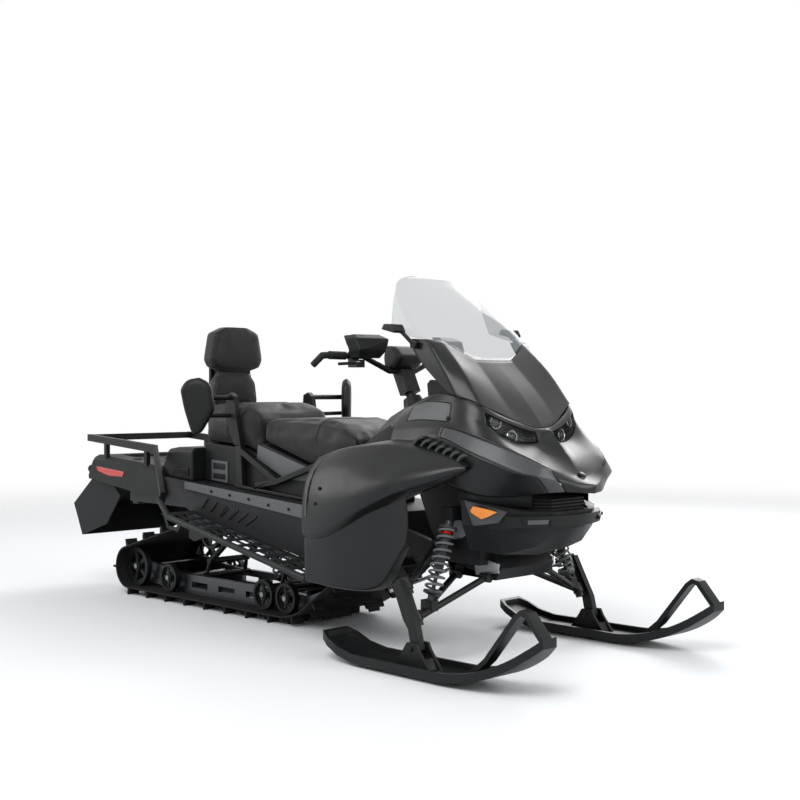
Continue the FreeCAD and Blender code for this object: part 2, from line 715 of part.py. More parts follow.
def make_seat_base():
    x0 = SEAT_REAR_X
    x1 = 330.0
    outline = [(x0, tunnel_top(x0)), (x0, 740.0), (-300.0, 720.0), (-202.0, 690.0), (-200.0, 748.0),
               (120.0, 659.0), (300.0, 660.0), (x1, 600.0), (x1, tunnel_top(x1))]
    return side_prism(outline, -SEAT_HALF, SEAT_HALF)


def make_driver_seat():
    outline = [(-190.0, 752.0), (-190.0, 846.0), (24.0, 854.0), (184.0, 851.0), (311.0, 828.0),
               (396.0, 786.0), (408.0, 720.0), (330.0, 664.0), (122.0, 662.0)]
    return rounded_slab(outline, -PAD_HALF, PAD_HALF, 10.0, 24.0)


def make_passenger_seat():
    outline = [(-600.0, 743.0), (-600.0, 905.0), (-440.0, 912.0), (-302.0, 914.0), (-232.0, 888.0),
               (-206.0, 846.0), (-206.0, 695.0), (-300.0, 724.0)]
    return rounded_slab(outline, -PAD_HALF + 2, PAD_HALF - 2, 8.0, 22.0)


def upright_pad(x0, x1, outline, round_r, edge_r):
    """Pad from an outline of (y, z) points, between x0 and x1."""
    pad = rounded_slab(outline, 0.0, x1 - x0, round_r, edge_r)
    pad.rotate(V(0, 0, 0), V(0, 0, 1), 90)
    pad.translate(V(x1, 0, 0))
    return pad


def make_headrest():
    outline = [(-132.0, 1072.0), (-152.0, 1110.0), (-128.0, 1236.0), (-60.0, 1266.0), (60.0, 1266.0),
               (128.0, 1236.0), (152.0, 1110.0), (132.0, 1072.0), (80.0, 1057.0), (-80.0, 1057.0)]
    return upright_pad(PAD_REAR_X, -610.0, outline, 14.0, 26.0)


def make_back_pad():
    outline = [(-84.0, 1052.0), (-118.0, 1010.0), (-134.0, 902.0), (134.0, 902.0), (118.0, 1010.0),
               (84.0, 1052.0)]
    return upright_pad(PAD_REAR_X, -622.0, outline, 10.0, 24.0)


def make_lumbar_pad():
    outline = [(-132.0, 898.0), (-120.0, 740.0), (120.0, 740.0), (132.0, 898.0)]
    return upright_pad(PAD_REAR_X, -602.0, outline, 10.0, 24.0)


def make_backrest_shell():
    """Stiff back plate that carries the three pads, with its foot on the seat base."""
    half = 90.0
    rear_x = PAD_REAR_X - PLATE_SHEET
    foot_z = BOX_TOP_Z + FIT
    plate = box(rear_x, PAD_REAR_X - 2 * FIT, -half, half, foot_z, PLATE_TOP_Z)
    edges = [e for e in plate.Edges if e.BoundBox.ZMin > PLATE_TOP_Z - 1.0 and e.BoundBox.YLength < 1e-6]
    plate = plate.makeChamfer(8.0, edges)
    foot = box(rear_x, SEAT_REAR_X - FIT, -half, half, foot_z, 738.0)
    return fuse([plate, foot])


def make_seat_braces():
    """Black side frame: post, two diagonals and a foot bar on the tunnel's top."""
    y0 = PAD_HALF + FIT
    y1 = y0 + 26.0
    # thick lines as (x, z) pairs and their thickness
    bars = (([(-305.0, 556.0), (-317.0, 733.0)], 40.0),
            ([(-312.0, 716.0), (-60.0, 590.0)], 26.0),
            ([(190.0, 668.0), (-60.0, 590.0), (-200.0, 566.0)], 24.0),
            ([(-340.0, 560.0), (150.0, 527.0)], 14.0))
    solids = [side_prism(thick_line(line, t), y0, y1) for line, t in bars]
    floor = side_prism([(-700.0, 300.0), (400.0, 300.0), (400.0, tunnel_top(400.0)),
                        (-700.0, tunnel_top(-700.0))], y0 - 1, y1 + 1)
    frame = fuse(solids).cut(floor)
    return both_sides(frame)


def make_handholds():
    """Inner plate with a grip bar and a lower bar that carry each wind deflector."""
    y0 = PAD_HALF + 24.0
    plate = side_prism([(-345.0, 735.0), (-300.0, 735.0), (-330.0, 850.0), (-346.0, 945.0), (-372.0, 962.0),
                        (-402.0, 950.0), (-410.0, 860.0)], PAD_HALF + FIT, y0)
    lower = rod((-378.0, y0 - 4, 862.0), (-366.0, 446.0, 866.0), 9.0)
    grip = rod((-374.0, y0 - 4, 940.0), (-364.0, 440.0, 940.0), 11.0)
    beyond = turned_out(box(-200.0, 200.0, -DEFLECTOR_HALF - FIT, 200.0, -200.0, 200.0))
    return both_sides(fuse([plate, lower, grip]).cut(beyond))


def turned_out(shape):
    """Move a piece into the left deflector's place, facing forwards and outwards."""
    shape.rotate(V(0, 0, 0), V(0, 0, 1), -45)
    shape.translate(V(*DEFLECTOR_AT))
    return shape


def make_deflector():
    """Passenger's wind deflector, on the left: an upright shell."""
    outline = [(-24.0, -128.0), (18.0, -122.0), (78.0, -16.0), (58.0, 96.0), (8.0, 122.0), (-46.0, 112.0),
               (-76.0, 70.0), (-58.0, -18.0)]
    return turned_out(rounded_slab(outline, -DEFLECTOR_HALF, DEFLECTOR_HALF, 12.0, 14.0))


def make_rear_box():
    shoulder = BOX_TOP_Z - 76.0
    outline = [(BOX_REAR_X, tunnel_top(BOX_REAR_X)), (BOX_REAR_X, shoulder),
               (BOX_REAR_X + 35, BOX_TOP_Z - 10), (BOX_REAR_X + 105, BOX_TOP_Z),
               (BOX_FRONT_X, BOX_TOP_Z), (BOX_FRONT_X, tunnel_top(BOX_FRONT_X))]
    body = side_prism(outline, -BOX_HALF, BOX_HALF)
    rims = [e for e in body.Edges if e.BoundBox.YLength < 1e-6 and e.BoundBox.ZMin > shoulder - 10.0]
    return body.makeChamfer(BOX_BEVEL, rims)


# Steering frame of reference

TILT = math.radians(STEER_TILT)
AXIS = V(-math.sin(TILT), 0, math.cos(TILT))
REARWARD = V(-math.cos(TILT), 0, -math.sin(TILT))


def column_point(z):
    return V(COLUMN_TOP[0] + (COLUMN_TOP[2] - z) * math.tan(TILT), 0, z)


def kingpin_point(z):
    return V(KINGPIN_X - (z - KINGPIN_Z) * math.tan(TILT), KINGPIN_Y, z)


def along_axis(centre, radius, height):
    """Cylinder on the steering direction, centred."""
    return Part.makeCylinder(radius, height, centre - AXIS * (height / 2), AXIS)


UPPER_EYE_Z = KINGPIN_Z + UPPER_EYE_RISE * math.cos(TILT)


def shock_sockets():
    """Round seats that the two ends of the front shock stand in."""
    top = V(*SHOCK_TOP)
    foot = V(*SHOCK_FOOT)
    up = (top - foot).normalize()
    radius = SHOCK_NECK + FIT
    return Part.Compound([Part.makeCylinder(radius, 60.0, foot - up * FIT, up),
                          Part.makeCylinder(radius, 60.0, top + up * FIT, up * -1)])


def make_bulkhead():
    """Cast front frame: nose block, two beams back to the tunnel, shock towers and the column bearing."""
    nose = side_prism([(835.0, 400.0), (835.0, 352.0), (862.0, 296.0), (1080.0, 290.0), (1104.0, 332.0),
                       (1062.0, 400.0)], -NOSE_HALF, NOSE_HALF)
    beam = side_prism([(TUNNEL_FRONT_X, 320.0), (TUNNEL_FRONT_X, 470.0), (700.0, 440.0), (860.0, 400.0),
                       (860.0, 352.0), (700.0, 352.0), (600.0, 330.0)], BEAM_OUT - BEAM_SHEET, BEAM_OUT)
    step = box(835.0, 1050.0, 149.0, BEAM_OUT, 345.0, 400.0)
    pad = box(845.0, 950.0, 195.0, ARM_PIVOT_Y - ARM_BOSS_R - FIT, 398.0, 432.0)
    low_pads = [box(x - 20.0, x + 20.0, NOSE_HALF - 1, LOWER_PIVOT_Y - LOWER_BOSS_R - FIT, 296.0, 330.0)
                for x in (LOWER_PIVOT_X[0] - 6, LOWER_PIVOT_X[1])]
    tower = side_prism([(905.0, 399.0), (1040.0, 399.0), (1012.0, 560.0), (960.0, 560.0)], 180.0, 205.0)
    hook = side_prism([(955.0, 510.0), (1010.0, 510.0), (1005.0, 556.0), (962.0, 556.0)],
                      204.0, SHOCK_TOP[1] + 18.0)
    hook = hook.cut(shock_sockets())
    bearing = Part.makeBox(60.0, 352.0, 16.0, V(-30.0, -176.0, -8.0))
    bearing.Placement = FreeCAD.Placement(column_point(400.0), FreeCAD.Rotation(V(0, 1, 0), -STEER_TILT))
    bearing = bearing.cut(along_axis(column_point(400.0), COLUMN_R + 0.5, 60.0))
    right = [beam, step, pad, tower, hook] + low_pads
    return fuse([nose, bearing] + right + [mirrored(s) for s in right])


def make_engine():
    foot_z = 400.0
    top_z = 630.0
    half = 165.0
    behind = (COLUMN_R + 14.0) / math.cos(TILT)
    outline = [(column_point(foot_z).x + behind, foot_z + FIT), (column_point(top_z).x + behind, top_z),
               (950.0, top_z), (980.0, foot_z + FIT)]
    return side_prism(outline, -half, half)


def arm_tubes(pivot_xs, pivot_y, pivot_z, eye_centre, radius, boss_r, boss_x):
    """Wishbone: two tubes from cylindrical bosses to one eye on the kingpin."""
    pieces = []
    for x in pivot_xs:
        pieces.append(rod((x, pivot_y, pivot_z), tuple(eye_centre), radius))
        pieces.append(Part.makeCylinder(boss_r, boss_x, V(x - boss_x / 2, pivot_y, pivot_z), V(1, 0, 0)))
    pieces.append(along_axis(eye_centre, EYE_R, EYE_HEIGHT))
    rooms = [along_axis(eye_centre, KINGPIN_R + PIN_GAP, EYE_HEIGHT * 3)]
    for side in (-1, 1):
        rooms.append(along_axis(eye_centre + AXIS * (side * (EYE_HEIGHT / 2 + 20.0)), EYE_R + 8.0, 40.0))
    return pieces[0].multiFuse(pieces[1:]).cut(Part.Compound(rooms))


def make_lower_arm():
    seat = box(958.0, 1012.0, 376.0, 410.0, 200.0, 238.0).cut(shock_sockets())
    eye = kingpin_point(KINGPIN_Z)
    arm = arm_tubes(LOWER_PIVOT_X, LOWER_PIVOT_Y, LOWER_PIVOT_Z, eye, LOWER_TUBE_R, LOWER_BOSS_R, 40.0)
    return arm.fuse(seat).cut(shock_sockets())


def make_upper_arm():
    eye = kingpin_point(UPPER_EYE_Z)
    return arm_tubes(ARM_PIVOT_X, ARM_PIVOT_Y, ARM_PIVOT_Z, eye, ARM_TUBE_R, ARM_BOSS_R, 30.0)


def make_front_shock():
    return shock(SHOCK_TOP, SHOCK_FOOT, 29.0, 8)


def make_spindle():
    """Ski leg with its kingpin, three lugs round the arm eyes, steering arm and foot."""
    lower = kingpin_point(KINGPIN_Z)
    upper = kingpin_point(UPPER_EYE_Z)
    pin_low = lower - AXIS * (EYE_HEIGHT / 2 + LUG_GAP + LUG_HEIGHT_LOW)
    pin_high = upper + AXIS * (EYE_HEIGHT / 2 + LUG_GAP + LUG_HEIGHT_TOP)
    pin = Part.makeCylinder(KINGPIN_R, (pin_high - pin_low).Length, pin_low, AXIS)
    outboard = SKI_STANCE / 2
    lugs = []
    # the eye that each lug lies against, side of it along the kingpin, height
    for centre, side, height in ((lower, -1, LUG_HEIGHT_LOW), (lower, 1, LUG_HEIGHT_LOW),
                                 (upper, -1, LUG_HEIGHT_LOW), (upper, 1, LUG_HEIGHT_TOP)):
        middle = centre + AXIS * (side * (EYE_HEIGHT / 2 + LUG_GAP + height / 2))
        disc = Part.makeCylinder(17.0, height, middle - AXIS * (height / 2), AXIS)
        bridge = Part.makeBox(30.0, outboard - KINGPIN_Y, height, V(-15.0, 0, -height / 2))
        bridge.Placement = FreeCAD.Placement(middle, FreeCAD.Rotation(V(0, 1, 0), -STEER_TILT))
        lugs += [disc, bridge]
    foot = V(SKI_BOLT_X, outboard, SKI_BOLT_Z)
    crown = V(pin_high.x, outboard, pin_high.z)
    leg_wire = [(foot.x - 20, foot.z - 4), (foot.x + 24, foot.z - 4), (foot.x + 6, foot.z + 70),
                (lower.x + 20, lower.z + 20), (crown.x + 22, crown.z), (crown.x - 14, crown.z - 16),
                (lower.x - 22, lower.z), (foot.x - 34, foot.z + 60)]
    leg = side_prism(leg_wire, outboard - LEG_HALF, outboard + LEG_HALF)
    boss = cross_rod(foot.x, foot.z, outboard - 20.0, outboard + 20.0, 20.0)
    bore = cross_rod(foot.x, foot.z, outboard - 30.0, outboard + 30.0, SKI_BOLT_R + PIN_GAP)
    arm_root = steer_arm_root()
    eye = arm_root + REARWARD * STEER_ARM + V(0, STEER_ARM_OUT, 0)
    arm = rod(tuple(arm_root), tuple(eye), 5.5)
    eye_disc = along_axis(eye, 13.0, 12.0)
    stud = Part.makeCylinder(ROD_STUD_R, 22.0, eye - AXIS * 22.0, AXIS)
    return fuse([pin, leg, boss, arm, eye_disc, stud] + lugs).cut(bore)


def steer_arm_root():
    """Middle of the top lug, where the steering arm starts."""
    return kingpin_point(UPPER_EYE_Z) + AXIS * (EYE_HEIGHT / 2 + LUG_GAP + LUG_HEIGHT_TOP / 2)


def tie_rod_eye():
    """Outer ring of the tie rod, under the steering arm."""
    return steer_arm_root() + REARWARD * STEER_ARM + V(0, STEER_ARM_OUT, 0) - AXIS * ROD_DROP


def pitman_eye():
    foot = column_point(COLUMN_FOOT_Z)
    return foot + REARWARD * STEER_ARM + V(0, STEER_ARM_OUT, 0)


def make_tie_rod():
    outer = tie_rod_eye()
    inner = pitman_eye()
    inner_ring = along_axis(inner, 11.0, 10.0)
    outer_ring = along_axis(outer, 11.0, 10.0)
    bar = rod(tuple(outer), tuple(inner), 7.0)
    holes = [along_axis(centre, ROD_STUD_R + PIN_GAP, 60.0) for centre in (outer, inner)]
    rooms = []
    for centre in (outer, inner):
        rooms.append(along_axis(centre + AXIS * 20.0, 16.0, 28.0))
        rooms.append(along_axis(centre - AXIS * 20.0, 16.0, 28.0))
    return fuse([inner_ring, outer_ring, bar.cut(Part.Compound(rooms))]).cut(Part.Compound(holes))


def make_steering():
    """Column, pitman arm with two studs, riser block and the bent handlebar."""
    foot = column_point(COLUMN_FOOT_Z)
    top = V(*COLUMN_TOP)
    column = Part.makeCylinder(COLUMN_R, (top - foot).Length, foot + AXIS * 12.0, AXIS)
    pitman = Part.makeBox(STEER_ARM + 34.0, 60.0, 12.0, V(-STEER_ARM - 16.0, -30.0, 8.0))
    pitman.Placement = FreeCAD.Placement(foot, FreeCAD.Rotation(V(0, 1, 0), -STEER_TILT))
    studs = []
    for side in (-1, 1):
        eye = pitman_eye()
        eye.y = eye.y * side
        studs.append(Part.makeCylinder(ROD_STUD_R, 18.0, eye - AXIS * 8.0, AXIS))
    riser = Part.makeBox(46.0, 74.0, 96.0, V(-23.0, -37.0, -86.0))
    riser.Placement = FreeCAD.Placement(top, FreeCAD.Rotation(V(0, 1, 0), -STEER_TILT))
    half_bar = [(452.0, 0.0, 1048.0), (452.0, 70.0, 1048.0), (448.0, 210.0, 1104.0), (440.0, 392.0, 1106.0)]
    left = chain(half_bar, 11.0)
    return fuse([column, pitman, riser, left, mirrored(left)] + studs)


def make_grips():
    """Rubber sleeves with a hooked end."""
    sleeve = rod((444.4, 300.0, 1105.0), (440.5, 380.0, 1106.0), 16.0)
    hook = chain([(440.5, 378.0, 1106.0), (438.0, 412.0, 1104.0), (398.0, 424.0, 1068.0)], 13.0)
    bar = rod((448.0, 210.0, 1104.0), (440.0, 392.0, 1106.0), 11.0)
    return both_sides(fuse([sleeve, hook]).cut(bar))


def make_hand_guards():
    """Boxy control housings with a rounded shell in front of each grip."""
    # height, x of the outer and inner corner, y of the outer and inner corner
    stations = ((1098.0, 500.0, 500.0, 285.0, 175.0), (1128.0, 518.0, 524.0, 305.0, 160.0),
                (1168.0, 500.0, 528.0, 310.0, 150.0), (1184.0, 470.0, 492.0, 290.0, 170.0))
    rows = []
    for z, x_out, x_in, y_out, y_in in stations:
        rows.append([(x_out - 46, y_out, z - 4), (x_out, y_out - 12, z), (x_in, y_in, z),
                     (x_in - 36, y_in - 6, z + 2)])
    return skin(rows, GUARD_SHEET)


def make_levers():
    """Clamp and lever under each bar end."""
    clamp = Part.makeCylinder(19.0, 34.0, V(446.6, 244.0, 1104.4), V(0, 1, 0))
    clamp = clamp.cut(Part.makeCylinder(11.0, 80.0, V(448.0, 210.0, 1104.0), V(-8.0, 182.0, 2.0)))
    pod = box(440.0, 490.0, 240.0, 282.0, 1060.0, 1090.0)
    lever = chain([(486.0, 262.0, 1080.0), (500.0, 300.0, 1076.0), (486.0, 372.0, 1072.0)], 6.0)
    arm = rod((462.0, 258.0, 1110.0), (518.0, 246.0, 1134.0), 6.0)
    return fuse([clamp, pod, lever, arm])


def make_bar_pad():
    outline = [(420.0, 1052.0), (412.0, 1100.0), (420.0, 1150.0), (470.0, 1146.0), (515.0, 1106.0),
               (500.0, 1080.0), (470.0, 1052.0)]
    pad = side_prism(outline, -72.0, 72.0)
    ends = [e for e in pad.Edges if e.BoundBox.YLength < 1e-6]
    return pad.makeChamfer(8.0, ends)


# Bodywork

def make_hood_body():
    """Nose shell: half sections (y, z) from the top centre outwards and down, at stations along x."""
    table = ((700.0, [(0, 925), (215, 908), (300, 830), (318, 790), (300, 700), (0, 700)]),
             (845.0, [(0, 950), (240, 960), (322, 832), (340, 790), (310, 690), (0, 690)]),
             (1000.0, [(0, 935), (272, 956), (325, 815), (345, 775), (316, 642), (0, 642)]),
             (1090.0, [(0, 880), (262, 932), (308, 800), (342, 762), (300, 600), (0, 612)]),
             (1135.0, [(0, 845), (240, 888), (296, 785), (336, 748), (290, 594), (0, 612)]),
             (1200.0, [(0, 822), (150, 800), (268, 762), (304, 708), (258, 592), (0, 612)]),
             (1320.0, [(0, 708), (110, 714), (180, 711), (214, 668), (150, 606), (0, 612)]),
             (1408.0, [(0, 646), (30, 644), (58, 636), (70, 618), (60, 608), (0, 612)]))
    return ring_loft([(x, whole_section(half)) for x, half in table])


def lamp_region():
    """Space of the left lamp, seen from the front: (y, z) outline."""
    outline = [(62.0, 775.0), (150.0, 786.0), (236.0, 846.0), (256.0, 884.0), (214.0, 878.0), (110.0, 832.0),
               (62.0, 808.0)]
    wire = Part.makePolygon([V(1100.0, y, z) for y, z in outline] + [V(1100.0, outline[0][0], outline[0][1])])
    return Part.Face(wire).extrude(V(170.0, 0, 0))


def make_lamp(hood):
    """Left lamp: a lens set back in the shell, with two round bowls that reach the shell's face."""
    behind = hood.copy()
    behind.translate(V(-LENS_DEPTH, 0, 0))
    lamp = hood.common(lamp_region()).common(behind)
    # middle of each bowl on the shell's face: x, y, z
    for x, y, z in ((1151.0, 222.0, 858.0), (1190.0, 146.0, 812.0)):
        bowl = Part.makeSphere(LAMP_R, V(x - LAMP_R, y, z))
        lamp = lamp.fuse(bowl.common(hood).common(lamp_region()))
    return lamp


def stripe_region():
    """Space of the left side stripe: (x, z) outline."""
    outline = [(935.0, 838.0), (1190.0, 768.0), (1322.0, 713.0), (1364.0, 640.0), (1335.0, 622.0),
               (1322.0, 674.0), (1132.0, 748.0), (960.0, 796.0)]
    return side_prism(outline, 120.0, 400.0)


def make_console():
    """Tank cover between the seat and the dash, with the boot round the column."""
    table = ((409.0 + FIT, [(0, 800), (120, 790), (188, 740), (205, 600), (0, 600)]),
             (500.0, [(0, 880), (110, 868), (188, 800), (205, 600), (0, 600)]),
             (600.0, [(0, 922), (120, 910), (205, 840), (215, 640), (0, 640)]),
             (700.0, [(0, 925), (215, 908), (300, 830), (300, 700), (0, 700)]))
    body = ring_loft([(x, whole_section(half)) for x, half in table])
    foot = column_point(872.0)
    boot = Part.makeCone(54.0, 36.0, 76.0, foot, AXIS)
    hole = along_axis(column_point(800.0), COLUMN_R + COLUMN_GAP, 500.0)
    return body.fuse(boot).cut(hole)


def make_side_panel():
    """Left side panel: bulging upper wing over a flatter lower wall, with moulded grooves."""
    # stations along x, each with points: inset from the panel's widest line, height
    body = ((440.0, [(312, 700), (92, 716), (26, 620), (12, 490), (24, 455), (27, 256), (224, 262)]),
            (600.0, [(312, 768), (104, 762), (16, 645), (0, 525), (18, 475), (36, 246), (224, 252)]),
            (740.0, [(299, 800), (119, 772), (19, 645), (2, 548), (38, 500), (72, 244), (224, 250)]),
            (900.0, [(262, 800), (149, 762), (62, 690), (36, 618), (84, 575), (104, 285), (224, 300)]))
    tip = ((900.0, [(262, 800), (149, 762), (62, 690), (36, 618), (84, 592), (184, 592), (262, 640)]),
           (1000.0, [(224, 790), (156, 742), (99, 690), (88, 655), (119, 628), (184, 625), (224, 660)]),
           (1108.0, [(206, 726), (176, 715), (162, 700), (164, 690), (174, 684), (194, 684), (206, 695)]))
    panel = fuse([ring_loft([(x, [(PANEL_HALF - inset, z) for inset, z in points]) for x, points in stations])
                  for stations in (body, tip)])
    rod_room = fuse([box(785.0, 960.0, 100.0, 408.0, 200.0, 338.0),
                     box(838.0, 960.0, 100.0, PANEL_HALF + 16.0, 200.0, 338.0)])
    strip_out = TUNNEL_HALF + STRIP_SHEET + FIT
    tunnel_room = box(430.0, TUNNEL_FRONT_X + FIT, 200.0, strip_out, 200.0, tunnel_top(430.0) + FIT)
    arm_room = box(828.0, 960.0, 200.0, 404.0, 330.0, 446.0)
    panel = panel.cut(rod_room).cut(arm_room).cut(tunnel_room)
    return panel.cut(panel_grooves(panel))


def panel_grooves(panel):
    """Shallow channels in the panel's outer face: one over its crease and one under it."""
    over = [(490.0, 428.0), (567.0, 434.0), (649.0, 488.0), (734.0, 537.0), (817.0, 581.0), (880.0, 589.0)]
    under = [(490.0, 396.0), (575.0, 397.0), (668.0, 449.0), (748.0, 501.0), (826.0, 545.0)]
    deeper = panel.copy()
    deeper.translate(V(0, -GROOVE_DEPTH, 0))
    inner_y = TUNNEL_HALF + 60.0
    outer_y = PANEL_HALF + 10.0
    bands = [side_prism(thick_line(line, GROOVE_WIDTH), inner_y, outer_y) for line in (over, under)]
    return fuse(bands).cut(deeper)


def make_louvres():
    """Cooling fins between the nose's flank and the side panel: curved strips that sweep up and forwards."""
    fins = []
    for i in range(FIN_COUNT):
        share = i / (FIN_COUNT - 1)
        foot = V(FIN_REAR_X + i * FIN_PITCH, 0, 752.0 - 44.0 * share)
        rise = 58.0 - 14.0 * share
        # both edges of the strip turn from upright at the foot to level at the head
        edges = []
        for inset in (0.0, FIN_SHEET):
            start = foot + V(inset, 0, 0)
            end = foot + V(rise, 0, rise - inset)
            radius = rise - inset
            middle = foot + V(rise - radius * math.sqrt(0.5), 0, radius * math.sqrt(0.5))
            edges.append((start, middle, end))
        (a0, a1, a2), (b0, b1, b2) = edges
        outline = [Part.Arc(a0, a1, a2).toShape(), Part.LineSegment(a2, b2).toShape(),
                   Part.Arc(b2, b1, b0).toShape(), Part.LineSegment(b0, a0).toShape()]
        fin = Part.Face(Part.Wire(outline))
        fin.translate(V(0, PANEL_HALF - 214.0, 0))
        fins.append(fin.extrude(V(0, 52.0 - 8.0 * share, 0)))
    return Part.Compound(fins)


def cover_region():
    """Space of the light side cover beside the dash: (x, z) outline."""
    outline = [(735.0, 872.0), (750.0, 925.0), (850.0, 970.0), (975.0, 962.0), (985.0, 890.0), (850.0, 862.0)]
    return side_prism(outline, 200.0, 400.0)


def make_belly_pan():
    """Lower nose with raised cheeks beside the intake."""
    top = PAN_TOP_Z
    table = ((1045.0, [(0, top), (205, top), (220, 588), (298, 588), (290, 500), (250, 405), (0, 402)]),
             (1150.0, [(0, top), (190, top), (200, 574), (272, 574), (262, 490), (190, 392), (0, 375)]),
             (1250.0, [(0, top), (150, top), (155, 552), (205, 552), (196, 480), (130, 425), (0, 410)]),
             (1318.0, [(0, top), (70, top), (75, 549), (105, 549), (98, 520), (60, 492), (0, 486)]))
    pan = ring_loft([(x, whole_section(half)) for x, half in table])
    return pan.cut(box(1000.0, 1104.0 + FIT, -NOSE_HALF - FIT, NOSE_HALF + FIT, 280.0, 400.0 + FIT))


def reflector_region():
    outline = [(1090.0, 560.0), (1186.0, 552.0), (1136.0, 530.0), (1108.0, 540.0)]
    return side_prism(outline, 225.0, 320.0)


def make_front_bumper():
    """Curved bar across the nose, seated on the lower nose."""
    centre = V(BUMPER_FRONT_X - BUMPER_R, 0, BUMPER_Z)
    disc = Part.makeCylinder(BUMPER_R, BUMPER_HEIGHT, centre)
    room = Part.makeCylinder(BUMPER_R - BUMPER_DEPTH, BUMPER_HEIGHT + 20.0, centre - V(0, 0, 10.0))
    return disc.cut(room).common(box(1222.0, 1360.0, -290.0, 290.0, BUMPER_Z - 10.0, BUMPER_Z + 60.0))


def make_grille():
    """Intake insert with slats across its mouth."""
    # left half of the face and of the bottom of the slots: x, y
    face = [(1060.0, 190.0), (1180.0, 175.0), (1290.0, 90.0)]
    bottom = [(1050.0, 180.0), (1175.0, 163.0), (1278.0, 84.0)]
    front = face + [(x, -y) for x, y in reversed(face)]
    back = bottom + [(x, -y) for x, y in reversed(bottom)]
    body = plan_prism(front, PAN_TOP_Z + FIT, GRILLE_TOP_Z)
    grooves = []
    for i in range(GRILLE_SLATS):
        z = PAN_TOP_Z + 8.0 + i * SLAT_PITCH
        gap = box(1060.0, 1400.0, -250.0, 250.0, z, z + SLAT_GAP)
        grooves.append(gap.cut(plan_prism(back, z - 1.0, z + SLAT_GAP + 1.0)))
    return body.cut(Part.Compound(grooves))


def make_windshield_cowl():
    top = [(775.0, 287.0, 1163.0), (872.0, 285.0, 1157.0), (886.0, 225.0, 1153.0), (936.0, 100.0, 1087.0),
           (938.0, 0.0, 1086.0)]
    middle = [(800.0, 289.0, 1112.0), (940.0, 292.0, 1062.0), (990.0, 246.0, 1058.0), (1034.0, 110.0, 985.0),
              (1042.0, 0.0, 980.0)]
    low = [(985.0, 292.0, 958.0), (1012.0, 291.0, 952.0), (1096.0, 256.0, 925.0), (1150.0, 110.0, 858.0),
           (1172.0, 0.0, 833.0)]
    return skin(cross_rows((top, middle, low)), -COWL_SHEET)


def cross_rows(halves):
    """Full rows of points from right to left, from rows of the left half that end on the centre."""
    return [[(x, -y, z) for x, y, z in half] + half[-2::-1] for half in halves]


def make_windshield():
    lift = 0.6
    bottom = [(674.0, 278.0, 1197.0), (780.0, 284.0, 1163.0 + lift), (872.0, 281.0, 1157.0 + lift),
              (885.0, 224.0, 1153.0 + lift), (935.0, 100.0, 1087.0 + lift), (937.0, 0.0, 1086.0 + lift)]
    middle = [(662.0, 256.0, 1272.0), (716.0, 258.0, 1270.0), (752.0, 240.0, 1268.0), (772.0, 190.0, 1268.0),
              (800.0, 90.0, 1255.0), (804.0, 0.0, 1252.0)]
    top = [(650.0, 230.0, 1350.0), (642.0, 222.0, 1374.0), (632.0, 190.0, 1394.0), (622.0, 140.0, 1407.0),
           (611.0, 70.0, 1416.0), (608.0, 0.0, 1418.0)]
    return skin(cross_rows((bottom, middle, top)), -SCREEN_SHEET)


def make_mirror():
    """Mirror head on a stalk beside the screen."""
    head = side_prism([(700.0, 1196.0), (712.0, 1216.0), (760.0, 1214.0), (774.0, 1190.0), (768.0, 1180.0)],
                      300.0, 356.0)
    stalk = rod((752.0, 306.0, 1192.0), (812.0, 303.0, 1142.0), 8.0)
    foot = side_prism([(800.0, 1128.0), (826.0, 1122.0), (834.0, 1146.0), (806.0, 1154.0)], 284.0, 308.0)
    return fuse([head, stalk, foot])


def make_gauge():
    """Instrument housing under the screen."""
    half = 112.0
    outline = [(712.0, 900.0), (700.0, 996.0), (716.0, 1012.0), (780.0, 1008.0), (850.0, 946.0),
               (850.0, 900.0)]
    return side_prism(outline, -half, half)


# Skis

def ski_line(rise):
    """Side line of the ski at a height above its sole: tail, flat run and a long tip arc."""
    tip = V(SKI_TIP_X, 0, 168.0 + rise)
    start = V(1180.0, 0, KEEL + rise)
    points = [V(598.0, 0, 70.0 + rise), V(700.0, 0, 27.0 + rise), V(780.0, 0, KEEL + rise), start]
    chord = tip - start
    half_turn = math.atan2(chord.z, chord.x)
    radius = chord.Length / 2 / math.sin(half_turn)
    middle = V(start.x + radius * math.sin(half_turn), 0, start.z + radius * (1 - math.cos(half_turn)))
    edges = [Part.LineSegment(a, b).toShape() for a, b in zip(points, points[1:])]
    edges.append(Part.Arc(start, middle, tip).toShape())
    return edges, points[0], tip


def ski_layer(low, high, plan, y_mid):
    """Layer of the ski between two heights above the sole, within a plan outline."""
    lower, rear_low, tip_low = ski_line(low)
    upper, rear_high, tip_high = ski_line(high)
    ends = [Part.LineSegment(a, b).toShape() for a, b in ((tip_low, tip_high), (rear_low, rear_high))]
    face = Part.Face(Part.Wire(Part.__sortEdges__(lower + upper + ends)))
    face.translate(V(0, y_mid - 150.0, 0))
    band = face.extrude(V(0, 300.0, 0))
    return band.common(plan)


